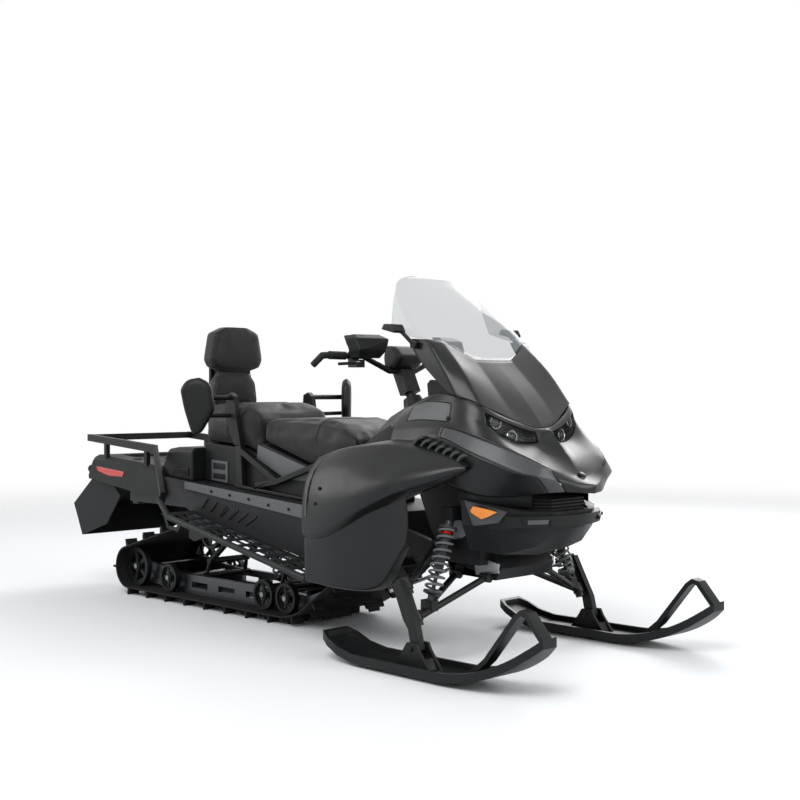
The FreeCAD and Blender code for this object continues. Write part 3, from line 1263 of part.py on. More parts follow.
def make_ski():
    """Left ski: sole plate, raised rims, keel, saddle ears with the pivot bolt, and the tip loop."""
    y_mid = SKI_STANCE / 2
    # half widths along the ski: x, half width
    widths = ((598.0, 60.0), (640.0, 78.0), (800.0, SKI_HALF - 6), (1200.0, SKI_HALF),
              (1420.0, SKI_HALF - 10), (1545.0, 62.0), (SKI_TIP_X + 1, 34.0))
    wall = 13.0

    def plan(inset, x_inset):
        right = [(x, y_mid - w + inset) for x, w in widths]
        right[0] = (right[0][0] + x_inset, right[0][1])
        right[-1] = (right[-1][0] - x_inset, right[-1][1])
        left = [(x, 2 * y_mid - y) for x, y in reversed(right)]
        return plan_prism(right + left, -10.0, 400.0)

    outline = plan(0.0, 0.0)
    inside = plan(wall, 14.0)
    sole = ski_layer(0.0, SKI_PLATE, outline, y_mid)
    rims = ski_layer(0.0, 32.0, outline.cut(inside), y_mid)
    keel = side_prism([(760.0, KEEL + 2), (800.0, 0.0), (1230.0, 0.0), (1330.0, KEEL + 30),
                       (1200.0, KEEL + 4)], y_mid - KEEL_HALF, y_mid + KEEL_HALF)
    top = KEEL + SKI_PLATE
    ear = side_prism([(940.0, top - 1), (1110.0, top - 1), (1060.0, 84.0), (1048.0, 108.0), (1000.0, 108.0),
                      (984.0, 84.0)], y_mid + EAR_INNER, y_mid + EAR_INNER + EAR_SHEET)
    other = ear.copy()
    other.translate(V(0, -2 * EAR_INNER - EAR_SHEET, 0))
    bolt = cross_rod(SKI_BOLT_X, SKI_BOLT_Z, y_mid - 40.0, y_mid + 40.0, SKI_BOLT_R)
    rubber = side_prism([(955.0, top - 1), (1095.0, top - 1), (1075.0, 58.0), (975.0, 58.0)],
                        y_mid - EAR_INNER - FIT, y_mid + EAR_INNER + FIT)
    loop_line = [(1290.0, 44.0), (1352.0, 96.0), (1478.0, 252.0), (1500.0, 268.0), (1522.0, 262.0),
                 (1592.0, 180.0)]
    loop = side_prism(thick_line(loop_line, LOOP_SHEET), y_mid - LOOP_HALF, y_mid + LOOP_HALF)
    return fuse([sole, rims, keel, ear, other, bolt, rubber, loop])


NODES = {}


def build_rear():
    NODES["track"] = make_track()
    NODES["idler_wheels"] = make_idler_wheels()
    NODES["wheel_axles"] = Part.Compound(make_wheel_axles().Solids + [make_drive_axle()])
    NODES["slide_rails"] = make_slide_rails()
    NODES["suspension_arms"] = make_suspension_arms()
    NODES["rear_shocks"] = make_rear_shocks()
    NODES["tunnel"] = make_tunnel().cut(anchor_holes())
    NODES["tunnel_strips"] = make_tunnel_strips()
    NODES["running_boards"] = both_sides(make_running_board())
    NODES["tail_section"] = make_tail_section()
    NODES["tail_lights"] = make_tail_lights()
    NODES["snow_flap"] = make_snow_flap()
    NODES["rear_rack"] = make_rear_rack().cut(NODES["tail_section"]).cut(NODES["running_boards"])
    NODES["hitch"] = make_hitch()


def build_seat():
    NODES["seat_base"] = make_seat_base()
    NODES["rear_box"] = make_rear_box()
    NODES["driver_seat"] = make_driver_seat()
    NODES["passenger_seat"] = make_passenger_seat()
    NODES["back_pads"] = Part.Compound([make_headrest(), make_back_pad(), make_lumbar_pad()])
    NODES["backrest_shell"] = make_backrest_shell()
    NODES["seat_braces"] = make_seat_braces()
    NODES["deflectors"] = both_sides(make_deflector())
    NODES["handholds"] = make_handholds()


def build_front():
    NODES["bulkhead"] = make_bulkhead()
    NODES["engine"] = make_engine()
    NODES["lower_arms"] = both_sides(make_lower_arm())
    NODES["upper_arms"] = both_sides(make_upper_arm())
    NODES["front_shocks"] = both_sides(make_front_shock())
    for side in ("left", "right"):
        for name, shape in (("ski_", make_ski()), ("spindle_", make_spindle()), ("tie_rod_", make_tie_rod())):
            NODES[name + side] = shape if side == "left" else mirrored(shape)
    NODES["steering_column"] = make_steering()
    NODES["grips"] = make_grips()
    NODES["hand_guards"] = both_sides(make_hand_guards())
    NODES["levers"] = both_sides(make_levers().cut(make_hand_guards()))
    NODES["bar_pad"] = make_bar_pad().cut(NODES["steering_column"])


def build_bodywork():
    whole_hood = make_hood_body()
    lamps = both_sides(lamp_region())
    stripes = both_sides(stripe_region())
    covers = both_sides(cover_region())
    console = make_console()
    panel = make_side_panel().cut(whole_hood).cut(console).cut(NODES["driver_seat"])
    pan = make_belly_pan()
    spots = both_sides(reflector_region())
    NODES["console"] = console
    NODES["headlights"] = both_sides(make_lamp(whole_hood))
    NODES["side_stripes"] = whole_hood.cut(lamps).common(stripes)
    NODES["dash_covers"] = whole_hood.common(covers)
    NODES["hood"] = whole_hood.cut(lamps).cut(stripes).cut(covers)
    NODES["windshield_cowl"] = make_windshield_cowl().cut(whole_hood)
    NODES["windshield"] = make_windshield()
    NODES["mirrors"] = both_sides(make_mirror()).cut(NODES["windshield_cowl"])
    NODES["gauge"] = make_gauge().cut(whole_hood).cut(console)
    NODES["side_panels"] = both_sides(panel)
    NODES["louvres"] = both_sides(make_louvres().cut(whole_hood).cut(panel))
    NODES["reflectors"] = pan.common(spots)
    NODES["belly_pan"] = pan.cut(spots)
    NODES["front_bumper"] = make_front_bumper().cut(pan)
    NODES["grille"] = make_grille().cut(whole_hood).cut(pan)


build_rear()
build_seat()
build_front()
build_bodywork()
os.makedirs("parts", exist_ok=True)
for name, shape in NODES.items():
    shape.exportStep("parts/" + name + ".step")
    print(name, "solids", len(shape.Solids), "valid", shape.isValid(), "volume", round(shape.Volume / 1e6, 2))
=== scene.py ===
# %% [markdown]
# A two-seat touring snowmobile, dressed for its portrait.
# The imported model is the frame: every piece below is placed from its nodes, in metres,
# with +X to the nose, +Y to the rider's left and +Z up.

# %% Load the frame
import json
import math

import bmesh
import bpy
from mathutils import Matrix, Vector


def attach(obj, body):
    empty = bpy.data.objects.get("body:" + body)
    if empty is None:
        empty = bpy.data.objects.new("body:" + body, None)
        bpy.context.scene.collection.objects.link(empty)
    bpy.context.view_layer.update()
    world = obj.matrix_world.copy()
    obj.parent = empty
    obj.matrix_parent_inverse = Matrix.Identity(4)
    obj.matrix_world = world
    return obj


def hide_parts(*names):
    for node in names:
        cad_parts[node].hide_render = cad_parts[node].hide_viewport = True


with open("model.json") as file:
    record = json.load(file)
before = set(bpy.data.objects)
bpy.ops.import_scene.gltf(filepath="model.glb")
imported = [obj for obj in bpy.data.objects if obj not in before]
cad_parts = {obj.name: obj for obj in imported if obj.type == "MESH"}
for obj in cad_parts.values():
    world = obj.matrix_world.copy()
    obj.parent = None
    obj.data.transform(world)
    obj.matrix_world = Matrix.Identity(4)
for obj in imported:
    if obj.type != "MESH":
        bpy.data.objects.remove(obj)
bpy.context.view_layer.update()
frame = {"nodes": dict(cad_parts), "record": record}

NODES = frame["nodes"]
SCENE = bpy.context.scene

# %% [markdown]
# The camera stands where the photographer stood, which was found by fitting known points:
# 45 degrees round from the right-hand side to the nose, at chest height, with a lens of about 58 mm.

# %% Camera
CAMERA_AT = (4.1349, -3.6520, 0.9733)
CAMERA_TURN = math.radians(45.333)
CAMERA_DIP = math.radians(0.446)
CAMERA_LENS = 58.26

camera_data = bpy.data.cameras.new("camera")
camera_data.lens = CAMERA_LENS
camera_data.sensor_width = 36.0
camera = bpy.data.objects.new("camera", camera_data)
camera.location = CAMERA_AT
camera.rotation_euler = (math.pi / 2 - CAMERA_DIP, 0, CAMERA_TURN)
SCENE.collection.objects.link(camera)
SCENE.camera = camera
print("lens", CAMERA_LENS, "mm")

# %% [markdown]
# Colours are written as sRGB hex values, as a paint chart gives them. Shaders work in linear light,
# so one function turns them over. A second small function adds a node with its settings and links:
# an input is called by its label with _ for each blank, or by its number after a v.

# %% Colour and node helpers
MM = 0.001


def linear(code, times=1.0):
    """sRGB hex text to a linear colour, made lighter or darker by a factor."""
    parts = [int(code[i:i + 2], 16) / 255 for i in (0, 2, 4)]
    return tuple(times * (c / 12.92 if c <= 0.04045 else ((c + 0.055) / 1.055) ** 2.4) for c in parts) + (1.0,)


def add(tree, kind, settings=None, **inputs):
    """One node: settings are attributes, inputs are values, sockets, or nodes for their first output."""
    node = tree.nodes.new("ShaderNode" + kind)
    for key, value in (settings or {}).items():
        setattr(node, key, value)
    for key, value in inputs.items():
        socket = node.inputs[int(key[1:])] if key[1:].isdigit() else node.inputs[key.replace("_", " ")]
        value = value.outputs[0] if isinstance(value, bpy.types.Node) else value
        if isinstance(value, bpy.types.NodeSocket):
            tree.links.new(value, socket)
        else:
            socket.default_value = value
    return node


def new_material(name):
    """Empty material, its node tree and the object's own coordinates in metres."""
    material = bpy.data.materials.new(name)
    material.use_nodes = True
    tree = material.node_tree
    tree.nodes.clear()
    return material, tree, add(tree, "TexCoord").outputs["Object"]


def shaded(material, tree, **inputs):
    """Finish a material with its shader, which every finish of the machine ends with."""
    add(tree, "OutputMaterial", Surface=add(tree, "BsdfPrincipled", **inputs))
    return material


print("the darkest plastic in linear light", [round(c, 4) for c in linear("0f1011")[:3]])

# %% [markdown]
# Body panels are moulded plastic, and some are painted. The mould is etched with a fine grain, and
# the gloss drifts a little from place to place. The grain is made of smooth cells 1.2 to 2 mm
# across, as coarse as it has to be to show at this size. A slow noise moves gloss and tone, since
# a panel with the same gloss all over looks like nothing real.

# %% Moulded plastics
MIDDLE = {"From_Min": 0.3, "From_Max": 0.7}  # most of a noise lies between these
CLOUDS_PER_M, CLOUD_GAIN, GLOSS_DRIFT = 9.0, 1.22, 0.06
PLASTIC_IOR = 1.49


def moulded_plastic(name, colour, rough, grain_mm, grain_depth, coat=0.0, shine=0.22):
    material, tree, place = new_material(name)
    grain = add(tree, "TexVoronoi", {"feature": "SMOOTH_F1"}, Vector=place, Scale=1 / (grain_mm * MM))
    cloud = add(tree, "TexNoise", Vector=place, Scale=CLOUDS_PER_M, Detail=4.0)
    gloss = add(tree, "MapRange", Value=cloud, To_Min=rough - GLOSS_DRIFT, To_Max=rough + GLOSS_DRIFT, **MIDDLE)
    tone = add(tree, "Mix", {"data_type": "RGBA"}, Factor=cloud, v6=linear(colour),
               v7=linear(colour, CLOUD_GAIN))
    bump = add(tree, "Bump", Height=grain, Strength=grain_depth, Distance=0.25 * MM)
    return shaded(material, tree, Base_Color=tone.outputs[2], Roughness=gloss, Normal=bump, IOR=PLASTIC_IOR,
                  Specular_IOR_Level=shine, Coat_Weight=coat, Coat_Roughness=0.12)


# Black sprayed over smooth plastic: long soft highlights follow each panel's crown.
PAINTED_SHELL = moulded_plastic("black_painted_shell_plastic", "0f1011", 0.36, 1.2, 0.06, coat=0.05, shine=0.30)
# Left as the etched mould made it: the grain breaks the highlights, so it looks duller and tougher.
GRAINED_SHELL = moulded_plastic("black_grained_polypropylene", "131415", 0.50, 1.6, 0.30)
# Nylon with a soft skin: a faint wide sheen on what hands and knees meet.
SOFT_BLACK = moulded_plastic("black_soft_touch_nylon", "0f1011", 0.46, 1.2, 0.18)
# Grey paint with a little clear coat: the stripe on the nose reads crisp against the black.
GREY_SHELL = moulded_plastic("graphite_painted_shell_plastic", "3c3d3f", 0.34, 1.2, 0.05, coat=0.08)
# Dyed through and not painted: two flat greys set covers, strips and seat panels off.
LIGHT_SHELL = moulded_plastic("grey_moulded_polypropylene", "515253", 0.45, 1.2, 0.15)
PANEL_GREY = moulded_plastic("mid_grey_moulded_polypropylene", "505255", 0.48, 1.4, 0.2)
# A darker dye: the fins still stand out from the shadow behind them.
LOUVRE_GREY = moulded_plastic("slate_moulded_polypropylene", "343536", 0.40, 1.2, 0.12)
# Pressed from slippery plastic: waxy, with a coarse faint grain that dulls the long edges.
SKI_PLASTIC = moulded_plastic("black_uhmw_polyethylene", "131415", 0.40, 2.0, 0.12)
print("nodes in the painted shell", len(PAINTED_SHELL.node_tree.nodes))

# %% [markdown]
# Tubes, arms and the tunnel wear baked powder, which leaves a soft orange-peel skin about 3 mm
# across, more even than paint. Bare alloys are cast, drawn or extruded: drawing leaves marks that
# run one way, so their noise is stretched along one direction before it moves gloss and bump.

# %% Metals
PEEL_MM = 3.0
POWDER_DRIFT, METAL_DRIFT = 0.07, 0.08
EVEN = (1, 1, 1)


def powder_coat(name, colour, rough):
    material, tree, place = new_material(name)
    peel = add(tree, "TexNoise", Vector=place, Scale=1 / (PEEL_MM * MM), Detail=2.0)
    bump = add(tree, "Bump", Height=peel, Strength=0.12, Distance=0.3 * MM)
    cloud = add(tree, "TexNoise", Vector=place, Scale=14.0, Detail=5.0)
    gloss = add(tree, "MapRange", Value=cloud, **MIDDLE, To_Min=rough - POWDER_DRIFT,
                To_Max=rough + POWDER_DRIFT)
    return shaded(material, tree, Base_Color=linear(colour), Roughness=gloss, Normal=bump,
                  Specular_IOR_Level=0.25)


def bare_metal(name, colour, rough, stretch, grain_mm, depth):
    material, tree, place = new_material(name)
    turn = add(tree, "Mapping", Vector=place, Scale=stretch)
    lines = add(tree, "TexNoise", Vector=turn, Scale=1 / (grain_mm * MM), Detail=3.0)
    gloss = add(tree, "MapRange", Value=lines, **MIDDLE, To_Min=rough - METAL_DRIFT,
                To_Max=rough + METAL_DRIFT)
    bump = add(tree, "Bump", Height=lines, Strength=depth, Distance=0.2 * MM)
    return shaded(material, tree, Base_Color=linear(colour), Metallic=1.0, Roughness=gloss, Normal=bump)


# Black powder on welded tube: highlights with ragged edges, so it looks hard but not polished.
BLACK_STEEL = powder_coat("black_powder_coated_steel", "101112", 0.42)
# The same on wide sheet, a shade lighter and duller: the big flat sides stay quiet.
BLACK_TUNNEL = powder_coat("black_powder_coated_aluminium_sheet", "131416", 0.48)
# Grey powder: each turn of a spring shows a light line above a dark one.
SPRING_STEEL = powder_coat("grey_powder_coated_spring_steel", "5c5e60", 0.38)
# Charcoal powder: the tube inside steps back behind its spring.
DAMPER_GREY = powder_coat("charcoal_powder_coated_damper", "2c2d2f", 0.36)
# Cast in sand: a pitted, cloudy grey that catches light all over.
CAST_ALLOY = bare_metal("sand_cast_aluminium", "9c9ea0", 0.46, EVEN, 2.5, 0.35)
# Drawn bar: fine marks along its length pull the highlight into a streak.
DRAWN_STEEL = bare_metal("drawn_steel_bar", "8b8c8e", 0.32, (1, 12, 12), 1.5, 0.08)
# Extruded and anodised: long faint lines from front to rear, in a dark satin grey.
RAIL_ALLOY = bare_metal("extruded_anodised_aluminium", "56585b", 0.38, (0.05, 1, 1), 1.5, 0.10)
# Dyed oxide over turned alloy: the metal shines through the red.
RED_ANODISED = bare_metal("red_anodised_aluminium", "a81a16", 0.3, EVEN, 2.0, 0.05)
# Metal laid on smooth plastic in a vacuum: nearly a mirror, the brightest ring in the lamp.
BRIGHT_CHROME = bare_metal("vacuum_metallised_reflector", "b9bbbd", 0.12, EVEN, 4.0, 0.02)
print("nodes in the cast alloy", len(CAST_ALLOY.node_tree.nodes))

# %% [markdown]
# Rubber is moulded with chalk and soot in it, so it scatters light evenly from a mottled skin.
# Seat vinyl is cloth with a coat that is rolled to look like leather: pebbles about 2.5 mm across
# come from the distance to a cell's edge, and a slow noise adds the lie of the cloth beneath.

# %% Rubber and vinyl
PEBBLE_MM = 2.5


def rubber(name, colour, rough, grain_mm):
    material, tree, place = new_material(name)
    mottle = add(tree, "TexNoise", Vector=place, Scale=1 / (grain_mm * MM), Detail=4.0)
    tone = add(tree, "Mix", {"data_type": "RGBA"}, Factor=mottle, v6=linear(colour), v7=linear(colour, 1.8))
    bump = add(tree, "Bump", Height=mottle, Strength=0.4, Distance=0.4 * MM)
    return shaded(material, tree, Base_Color=tone.outputs[2], Roughness=rough, Normal=bump,
                  Specular_IOR_Level=0.2)


def seat_vinyl(name, colour):
    material, tree, place = new_material(name)
    pebble = add(tree, "TexVoronoi", {"feature": "DISTANCE_TO_EDGE"}, Vector=place, Scale=1 / (PEBBLE_MM * MM))
    fold = add(tree, "TexNoise", Vector=place, Scale=22.0, Detail=3.0)
    height = add(tree, "Math", {"operation": "MULTIPLY_ADD"}, v0=fold, v1=0.6, v2=pebble)
    bump = add(tree, "Bump", Height=height, Strength=0.35, Distance=0.5 * MM)
    gloss = add(tree, "MapRange", Value=fold, To_Min=0.46, To_Max=0.60, **MIDDLE)
    return shaded(material, tree, Base_Color=linear(colour), Roughness=gloss, Normal=bump,
                  Specular_IOR_Level=0.25, Sheen_Weight=0.12, Sheen_Roughness=0.4)


# Vulcanised on cords: the deepest, flattest black, which makes the track heavy. The same black is
# painted shade in the box's latch slot, the seat base's lower slot and the tail's hand holes.
TRACK_RUBBER = rubber("reinforced_natural_rubber", "111112", 0.72, 1.6)
# Moulded and smoother: flap and grips take a dull shine where they bend.
FLAP_RUBBER = rubber("moulded_epdm_rubber", "141516", 0.62, 2.2)
# Rolled pebbles under a low sheen: edges that turn away glow a little, as upholstery does.
SEAT_VINYL = seat_vinyl("black_marine_vinyl", "121213")
print("nodes in the seat vinyl", len(SEAT_VINYL.node_tree.nodes))

# %% [markdown]
# The screen and the lamp covers are clear plastic sheet. A low alpha lets the scene show through
# without bending it, which is right for a thin sheet and much faster than refraction. Coloured
# lenses have small prisms moulded inside, which a square cell pattern stands for.

# %% Sheets and lenses


def clear_sheet(name, colour, rough, alpha):
    material, tree, place = new_material(name)
    haze = add(tree, "TexNoise", Vector=place, Scale=30.0, Detail=3.0)
    gloss = add(tree, "MapRange", Value=haze, To_Min=rough, To_Max=rough + 0.05, **MIDDLE)
    return shaded(material, tree, Base_Color=linear(colour), Roughness=gloss, Alpha=alpha, IOR=PLASTIC_IOR,
                  Specular_IOR_Level=0.3)


def tinted_lens(name, colour, pitch_mm):
    material, tree, place = new_material(name)
    prism = add(tree, "TexVoronoi", {"distance": "CHEBYCHEV"}, Vector=place, Scale=1 / (pitch_mm * MM),
                Randomness=0.0)
    tone = add(tree, "Mix", {"data_type": "RGBA"}, Factor=prism, v6=linear(colour), v7=linear(colour, 0.55))
    bump = add(tree, "Bump", Height=prism, Strength=0.2, Distance=0.5 * MM)
    return shaded(material, tree, Base_Color=tone.outputs[2], Roughness=0.12, Normal=bump, Coat_Weight=0.6)


# Draped from smoked sheet: a cool grey veil, and the cockpit stays visible behind it.
SMOKE_SCREEN = clear_sheet("smoked_polycarbonate_sheet", "8d9396", 0.05, 0.30)
# Moulded thin and clear: almost only its highlight shows over the dark lamp.
CLEAR_LENS = clear_sheet("clear_polycarbonate_lens", "202224", 0.08, 0.09)
# Pressed glass: the dome holds a grey depth and a sharp glint.
CLEAR_GLASS = clear_sheet("pressed_lens_glass", "4a5056", 0.03, 0.40)
# Moulded in colour with prisms inside: a fine square weave, lit or not.
RED_LENS = tinted_lens("red_acrylic_lens", "c01412", 6.0)
AMBER_LENS = tinted_lens("amber_acrylic_lens", "f08a12", 5.0)
print("nodes in the red lens", len(RED_LENS.node_tree.nodes))

# %% [markdown]
# Every node of the frame gets its finish here, and the pieces that stand in for a node use the same.

# %% Finishes of the frame's nodes
FINISHES = {
    PAINTED_SHELL: ("hood", "windshield_cowl", "side_panels"),
    GRAINED_SHELL: ("tail_section", "rear_box", "seat_base", "console", "belly_pan", "backrest_shell", "gauge",
                    "grille"),
    SOFT_BLACK: ("hand_guards", "bar_pad", "mirrors", "handholds", "deflectors", "front_bumper",
                 "idler_wheels"),
    GREY_SHELL: ("side_stripes",),
    LOUVRE_GREY: ("louvres",),
    LIGHT_SHELL: ("dash_covers", "tunnel_strips"),
    SKI_PLASTIC: ("ski_left", "ski_right"),
    BLACK_STEEL: ("rear_rack", "hitch", "seat_braces", "lower_arms", "upper_arms", "front_shocks",
                  "spindle_left", "spindle_right", "steering_column", "levers", "suspension_arms", "engine"),
    BLACK_TUNNEL: ("tunnel", "running_boards", "bulkhead"),
    DRAWN_STEEL: ("wheel_axles", "rear_shocks", "tie_rod_left", "tie_rod_right"),
    RAIL_ALLOY: ("slide_rails",),
    TRACK_RUBBER: ("track",),
    FLAP_RUBBER: ("snow_flap", "grips"),
    SEAT_VINYL: ("driver_seat", "passenger_seat", "back_pads"),
    SMOKE_SCREEN: ("windshield",),
    CLEAR_LENS: ("headlights",),
    RED_LENS: ("tail_lights",),
    AMBER_LENS: ("reflectors",),
}
FINISH_OF = {node: finish for finish, names in FINISHES.items() for node in names}
for node, finish in FINISH_OF.items():
    for slot in NODES[node].material_slots:
        slot.material = finish
print("nodes without a finish", sorted(set(NODES) - set(FINISH_OF)))

# %% [markdown]
# Most of this machine is moulded plastic, welded tube and bent sheet, and none of it has a razor edge.
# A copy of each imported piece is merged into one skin, its flat faces are joined, and a bevel rounds
# every hard corner, so that edges catch the light as they do on the real parts.

# %% Copies with rounded edges
BODY_OF = {node: body for body, members in frame["record"]["behaviour"]["bodies"].items() for node in members}
SLOT_OF = {part["node"]: part["material_slot"] for part in frame["record"]["subparts"]}
WELD = 0.02 * MM
FLAT_ANGLE, BEVEL_ANGLE = math.radians(1.5), math.radians(30.0)
WIDE_EDGE_MM = 5.0


def place(name, mesh, finish, slot, body="chassis", sharp=35.0):
    """Turn a bmesh into a piece that rides on a body."""
    data = bpy.data.meshes.new(name)
    mesh.to_mesh(data)
    mesh.free()
    data.shade_smooth()
    data.set_sharp_from_angle(angle=math.radians(sharp))
    data.materials.append(finish)
    piece = bpy.data.objects.new(name, data)
    SCENE.collection.objects.link(piece)
    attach(piece, body)
    return piece


def merged_copy(node):
    mesh = bmesh.new()
    mesh.from_mesh(NODES[node].data)
    bmesh.ops.remove_doubles(mesh, verts=mesh.verts, dist=WELD)
    bmesh.ops.dissolve_degenerate(mesh, edges=mesh.edges, dist=WELD)
    return mesh


def rounded(node, width_mm):
    mesh = merged_copy(node)
    bmesh.ops.dissolve_limit(mesh, angle_limit=FLAT_ANGLE, verts=mesh.verts, edges=mesh.edges)
    piece = place(node + "_rounded", mesh, FINISH_OF[node], SLOT_OF[node], BODY_OF[node])
    bevel = piece.modifiers.new("rounded edges", "BEVEL")
    bevel.width = width_mm * MM
    bevel.segments = 3 if width_mm > WIDE_EDGE_MM else 2
    bevel.limit_method = "ANGLE"
    bevel.angle_limit = BEVEL_ANGLE
    bevel.use_clamp_overlap = True
    bevel.harden_normals = True
    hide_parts(node)


# edge radius in mm: nodes
ROUNDED = {
    10.0: ("console",), 8.0: ("rear_box", "gauge"), 7.0: ("tail_section", "ski_left", "ski_right"),
    6.0: ("seat_base", "belly_pan", "rear_rack"), 5.0: ("front_bumper", "steering_column"),
    4.0: ("backrest_shell", "handholds", "seat_braces", "bulkhead"), 3.0: ("grips",),
    2.5: ("spindle_left", "spindle_right", "snow_flap"),
    2.0: ("hitch", "idler_wheels", "tunnel", "tunnel_strips", "tail_lights"), 1.8: ("louvres",),
    1.5: ("slide_rails", "levers"), 1.2: ("grille",),
}
for width_mm, names in ROUNDED.items():
    for node in names:
        rounded(node, width_mm)
print("rounded copies", sum(len(names) for names in ROUNDED.values()))

# %% [markdown]
# Knee deflectors, mirrors, hand guards and the bar pad are blow-moulded: no flat facet is left on them.
# Their copies are turned into even cells and every point is drawn towards its neighbours,
# a few times over, which melts the corners as a mould with generous radii does.

# %% Melted mouldings


def as_shown(thing):
    """Mesh of an object with its modifiers applied."""
    return bpy.data.meshes.new_from_object(thing.evaluated_get(bpy.context.evaluated_depsgraph_get()))


def ease(data, rounds, shrink_mm=0.0):
    """Draw a mesh in along its normals, then every point towards its neighbours."""
    soft = bmesh.new()
    soft.from_mesh(data)
    if shrink_mm:
        for vert in soft.verts:
            vert.co -= vert.normal * shrink_mm * MM
    for _ in range(rounds):
        bmesh.ops.smooth_vert(soft, verts=soft.verts, factor=0.5, use_axis_x=True, use_axis_y=True,
                              use_axis_z=True)
    soft.to_mesh(data)
    soft.free()


def to_even_cells(piece, cell_mm, rounds, shrink_mm=0.0):
    """Give a piece a mesh of even cells and ease it."""
    cells = piece.modifiers.new("even cells", "REMESH")
    cells.mode = "VOXEL"
    cells.voxel_size = cell_mm * MM
    even = as_shown(piece)
    piece.modifiers.clear()
    ease(even, rounds, shrink_mm)
    even.materials.clear()
    even.materials.append(piece.data.materials[0])
    piece.data = even


# node, cell and rounds of smoothing
MELTED = (("deflectors", 7.0, 24), ("mirrors", 2.5, 6), ("hand_guards", 3.0, 8), ("bar_pad", 5.0, 14))
for node, cell_mm, rounds in MELTED:
    piece = place(node + "_moulded", merged_copy(node), FINISH_OF[node], SLOT_OF[node], BODY_OF[node],
                  sharp=180.0)
    to_even_cells(piece, cell_mm, rounds)
    piece.data.shade_smooth()
    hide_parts(node)
    print(piece.name, len(piece.data.polygons), "faces")

# %% [markdown]
# The bodywork is a skin of thin moulded shells with crisp character lines.
# A grid is moved onto a few rows of control points and subdivision draws the smooth skin through them,
# while a crease keeps the lines that the eye follows. Each panel is then cut out of that one skin,
# drawn in by a millimetre so that a real gap runs round it, and given the wall of a moulding.

# %% Moulded skins
PANEL_GAP, SHELL_WALL = 1.4, 4.0
LINE_CREASE = 0.75
SEAM_WELD = 0.4 * MM


def smooth_skin(rows, creases=(), regions=(), levels=3, mirror=True):
    """Fine bmesh from rows of control points; regions are (index, rows, columns) of cells."""
    across = len(rows[0])
    mesh = bmesh.new()
    bmesh.ops.create_grid(mesh, x_segments=across - 1, y_segments=len(rows) - 1, size=1.0)
    mesh.verts.ensure_lookup_table()
    for vert, at in zip(mesh.verts, [point for row in rows for point in row]):
        vert.co = Vector(at) * MM
    crease = mesh.edges.layers.float.new("crease_edge")
    for edge in mesh.edges:
        columns = {vert.index % across for vert in edge.verts}
        if len(columns) == 1 and columns <= set(creases):
            edge[crease] = LINE_CREASE
    for face in mesh.faces:
        first = min(vert.index for vert in face.verts)
        for index, row_range, column_range in regions:
            if first // across in range(*row_range) and first % across in range(*column_range):
                face.material_index = index
    cage_data = bpy.data.meshes.new("cage")
    mesh.to_mesh(cage_data)
    mesh.free()
    for _ in range(1 + max([index for index, _, _ in regions], default=0)):
        cage_data.materials.append(None)
    cage = bpy.data.objects.new("cage", cage_data)
    SCENE.collection.objects.link(cage)
    smooth = cage.modifiers.new("smooth", "SUBSURF")
    smooth.levels = levels
    smooth.boundary_smooth = "PRESERVE_CORNERS"
    fine = bmesh.new()
    fine.from_mesh(as_shown(cage))
    bpy.data.objects.remove(cage)
    if mirror:
        add_mirror(fine, SEAM_WELD)
    bmesh.ops.recalc_face_normals(fine, faces=fine.faces)
    return fine


def face_away(mesh, middle):
    """Turn an open skin so that it faces away from a point inside it."""
    inside = Vector(middle) * MM
    lean = sum(face.normal.dot(face.calc_center_median() - inside) * face.calc_area() for face in mesh.faces)
    if lean < 0:
        bmesh.ops.reverse_faces(mesh, faces=mesh.faces)


def region(skin, index):
    """Copy of the cells that carry one index."""
    part = skin.copy()
    bmesh.ops.delete(part, geom=[face for face in part.faces if face.material_index != index], context="FACES")
    for face in part.faces:
        face.material_index = 0
    return part


def give_wall(piece, wall_mm):
    wall = piece.modifiers.new("wall", "SOLIDIFY")
    wall.thickness = wall_mm * MM
    wall.offset = -1.0


def panel(name, skin, index, finish, slot, gap_mm=PANEL_GAP, wall_mm=SHELL_WALL):
    """Cut one region out of a skin, draw it in by the gap and give it a wall."""
    part = region(skin, index)
    if gap_mm:
        ring = bmesh.ops.inset_region(part, faces=part.faces, thickness=gap_mm * MM, use_boundary=True,
                                      use_even_offset=True)["faces"]
        bmesh.ops.delete(part, geom=ring, context="FACES")
    piece = place(name, part, finish, slot, sharp=50.0)
    give_wall(piece, wall_mm)
    return piece


def add_mirror(mesh, merge=0.0):
    """Add the other side of the machine."""
    bmesh.ops.mirror(mesh, geom=mesh.verts[:] + mesh.edges[:] + mesh.faces[:], axis="Y", merge_dist=merge)


# %% [markdown]
# The nose wraps from one side of the machine, round the front, to the other. Its rows run from the
# rear edge forwards to the ridge on the centre line, and its columns run from the seam under the
# screen's cowl down to the lower lip. Lens, cover and side stripe are regions of this one skin.

# %% Rows of the nose


def station(x, *places):
    """Row of points across the machine, all at one x."""
    return tuple((x, y, z) for y, z in places)


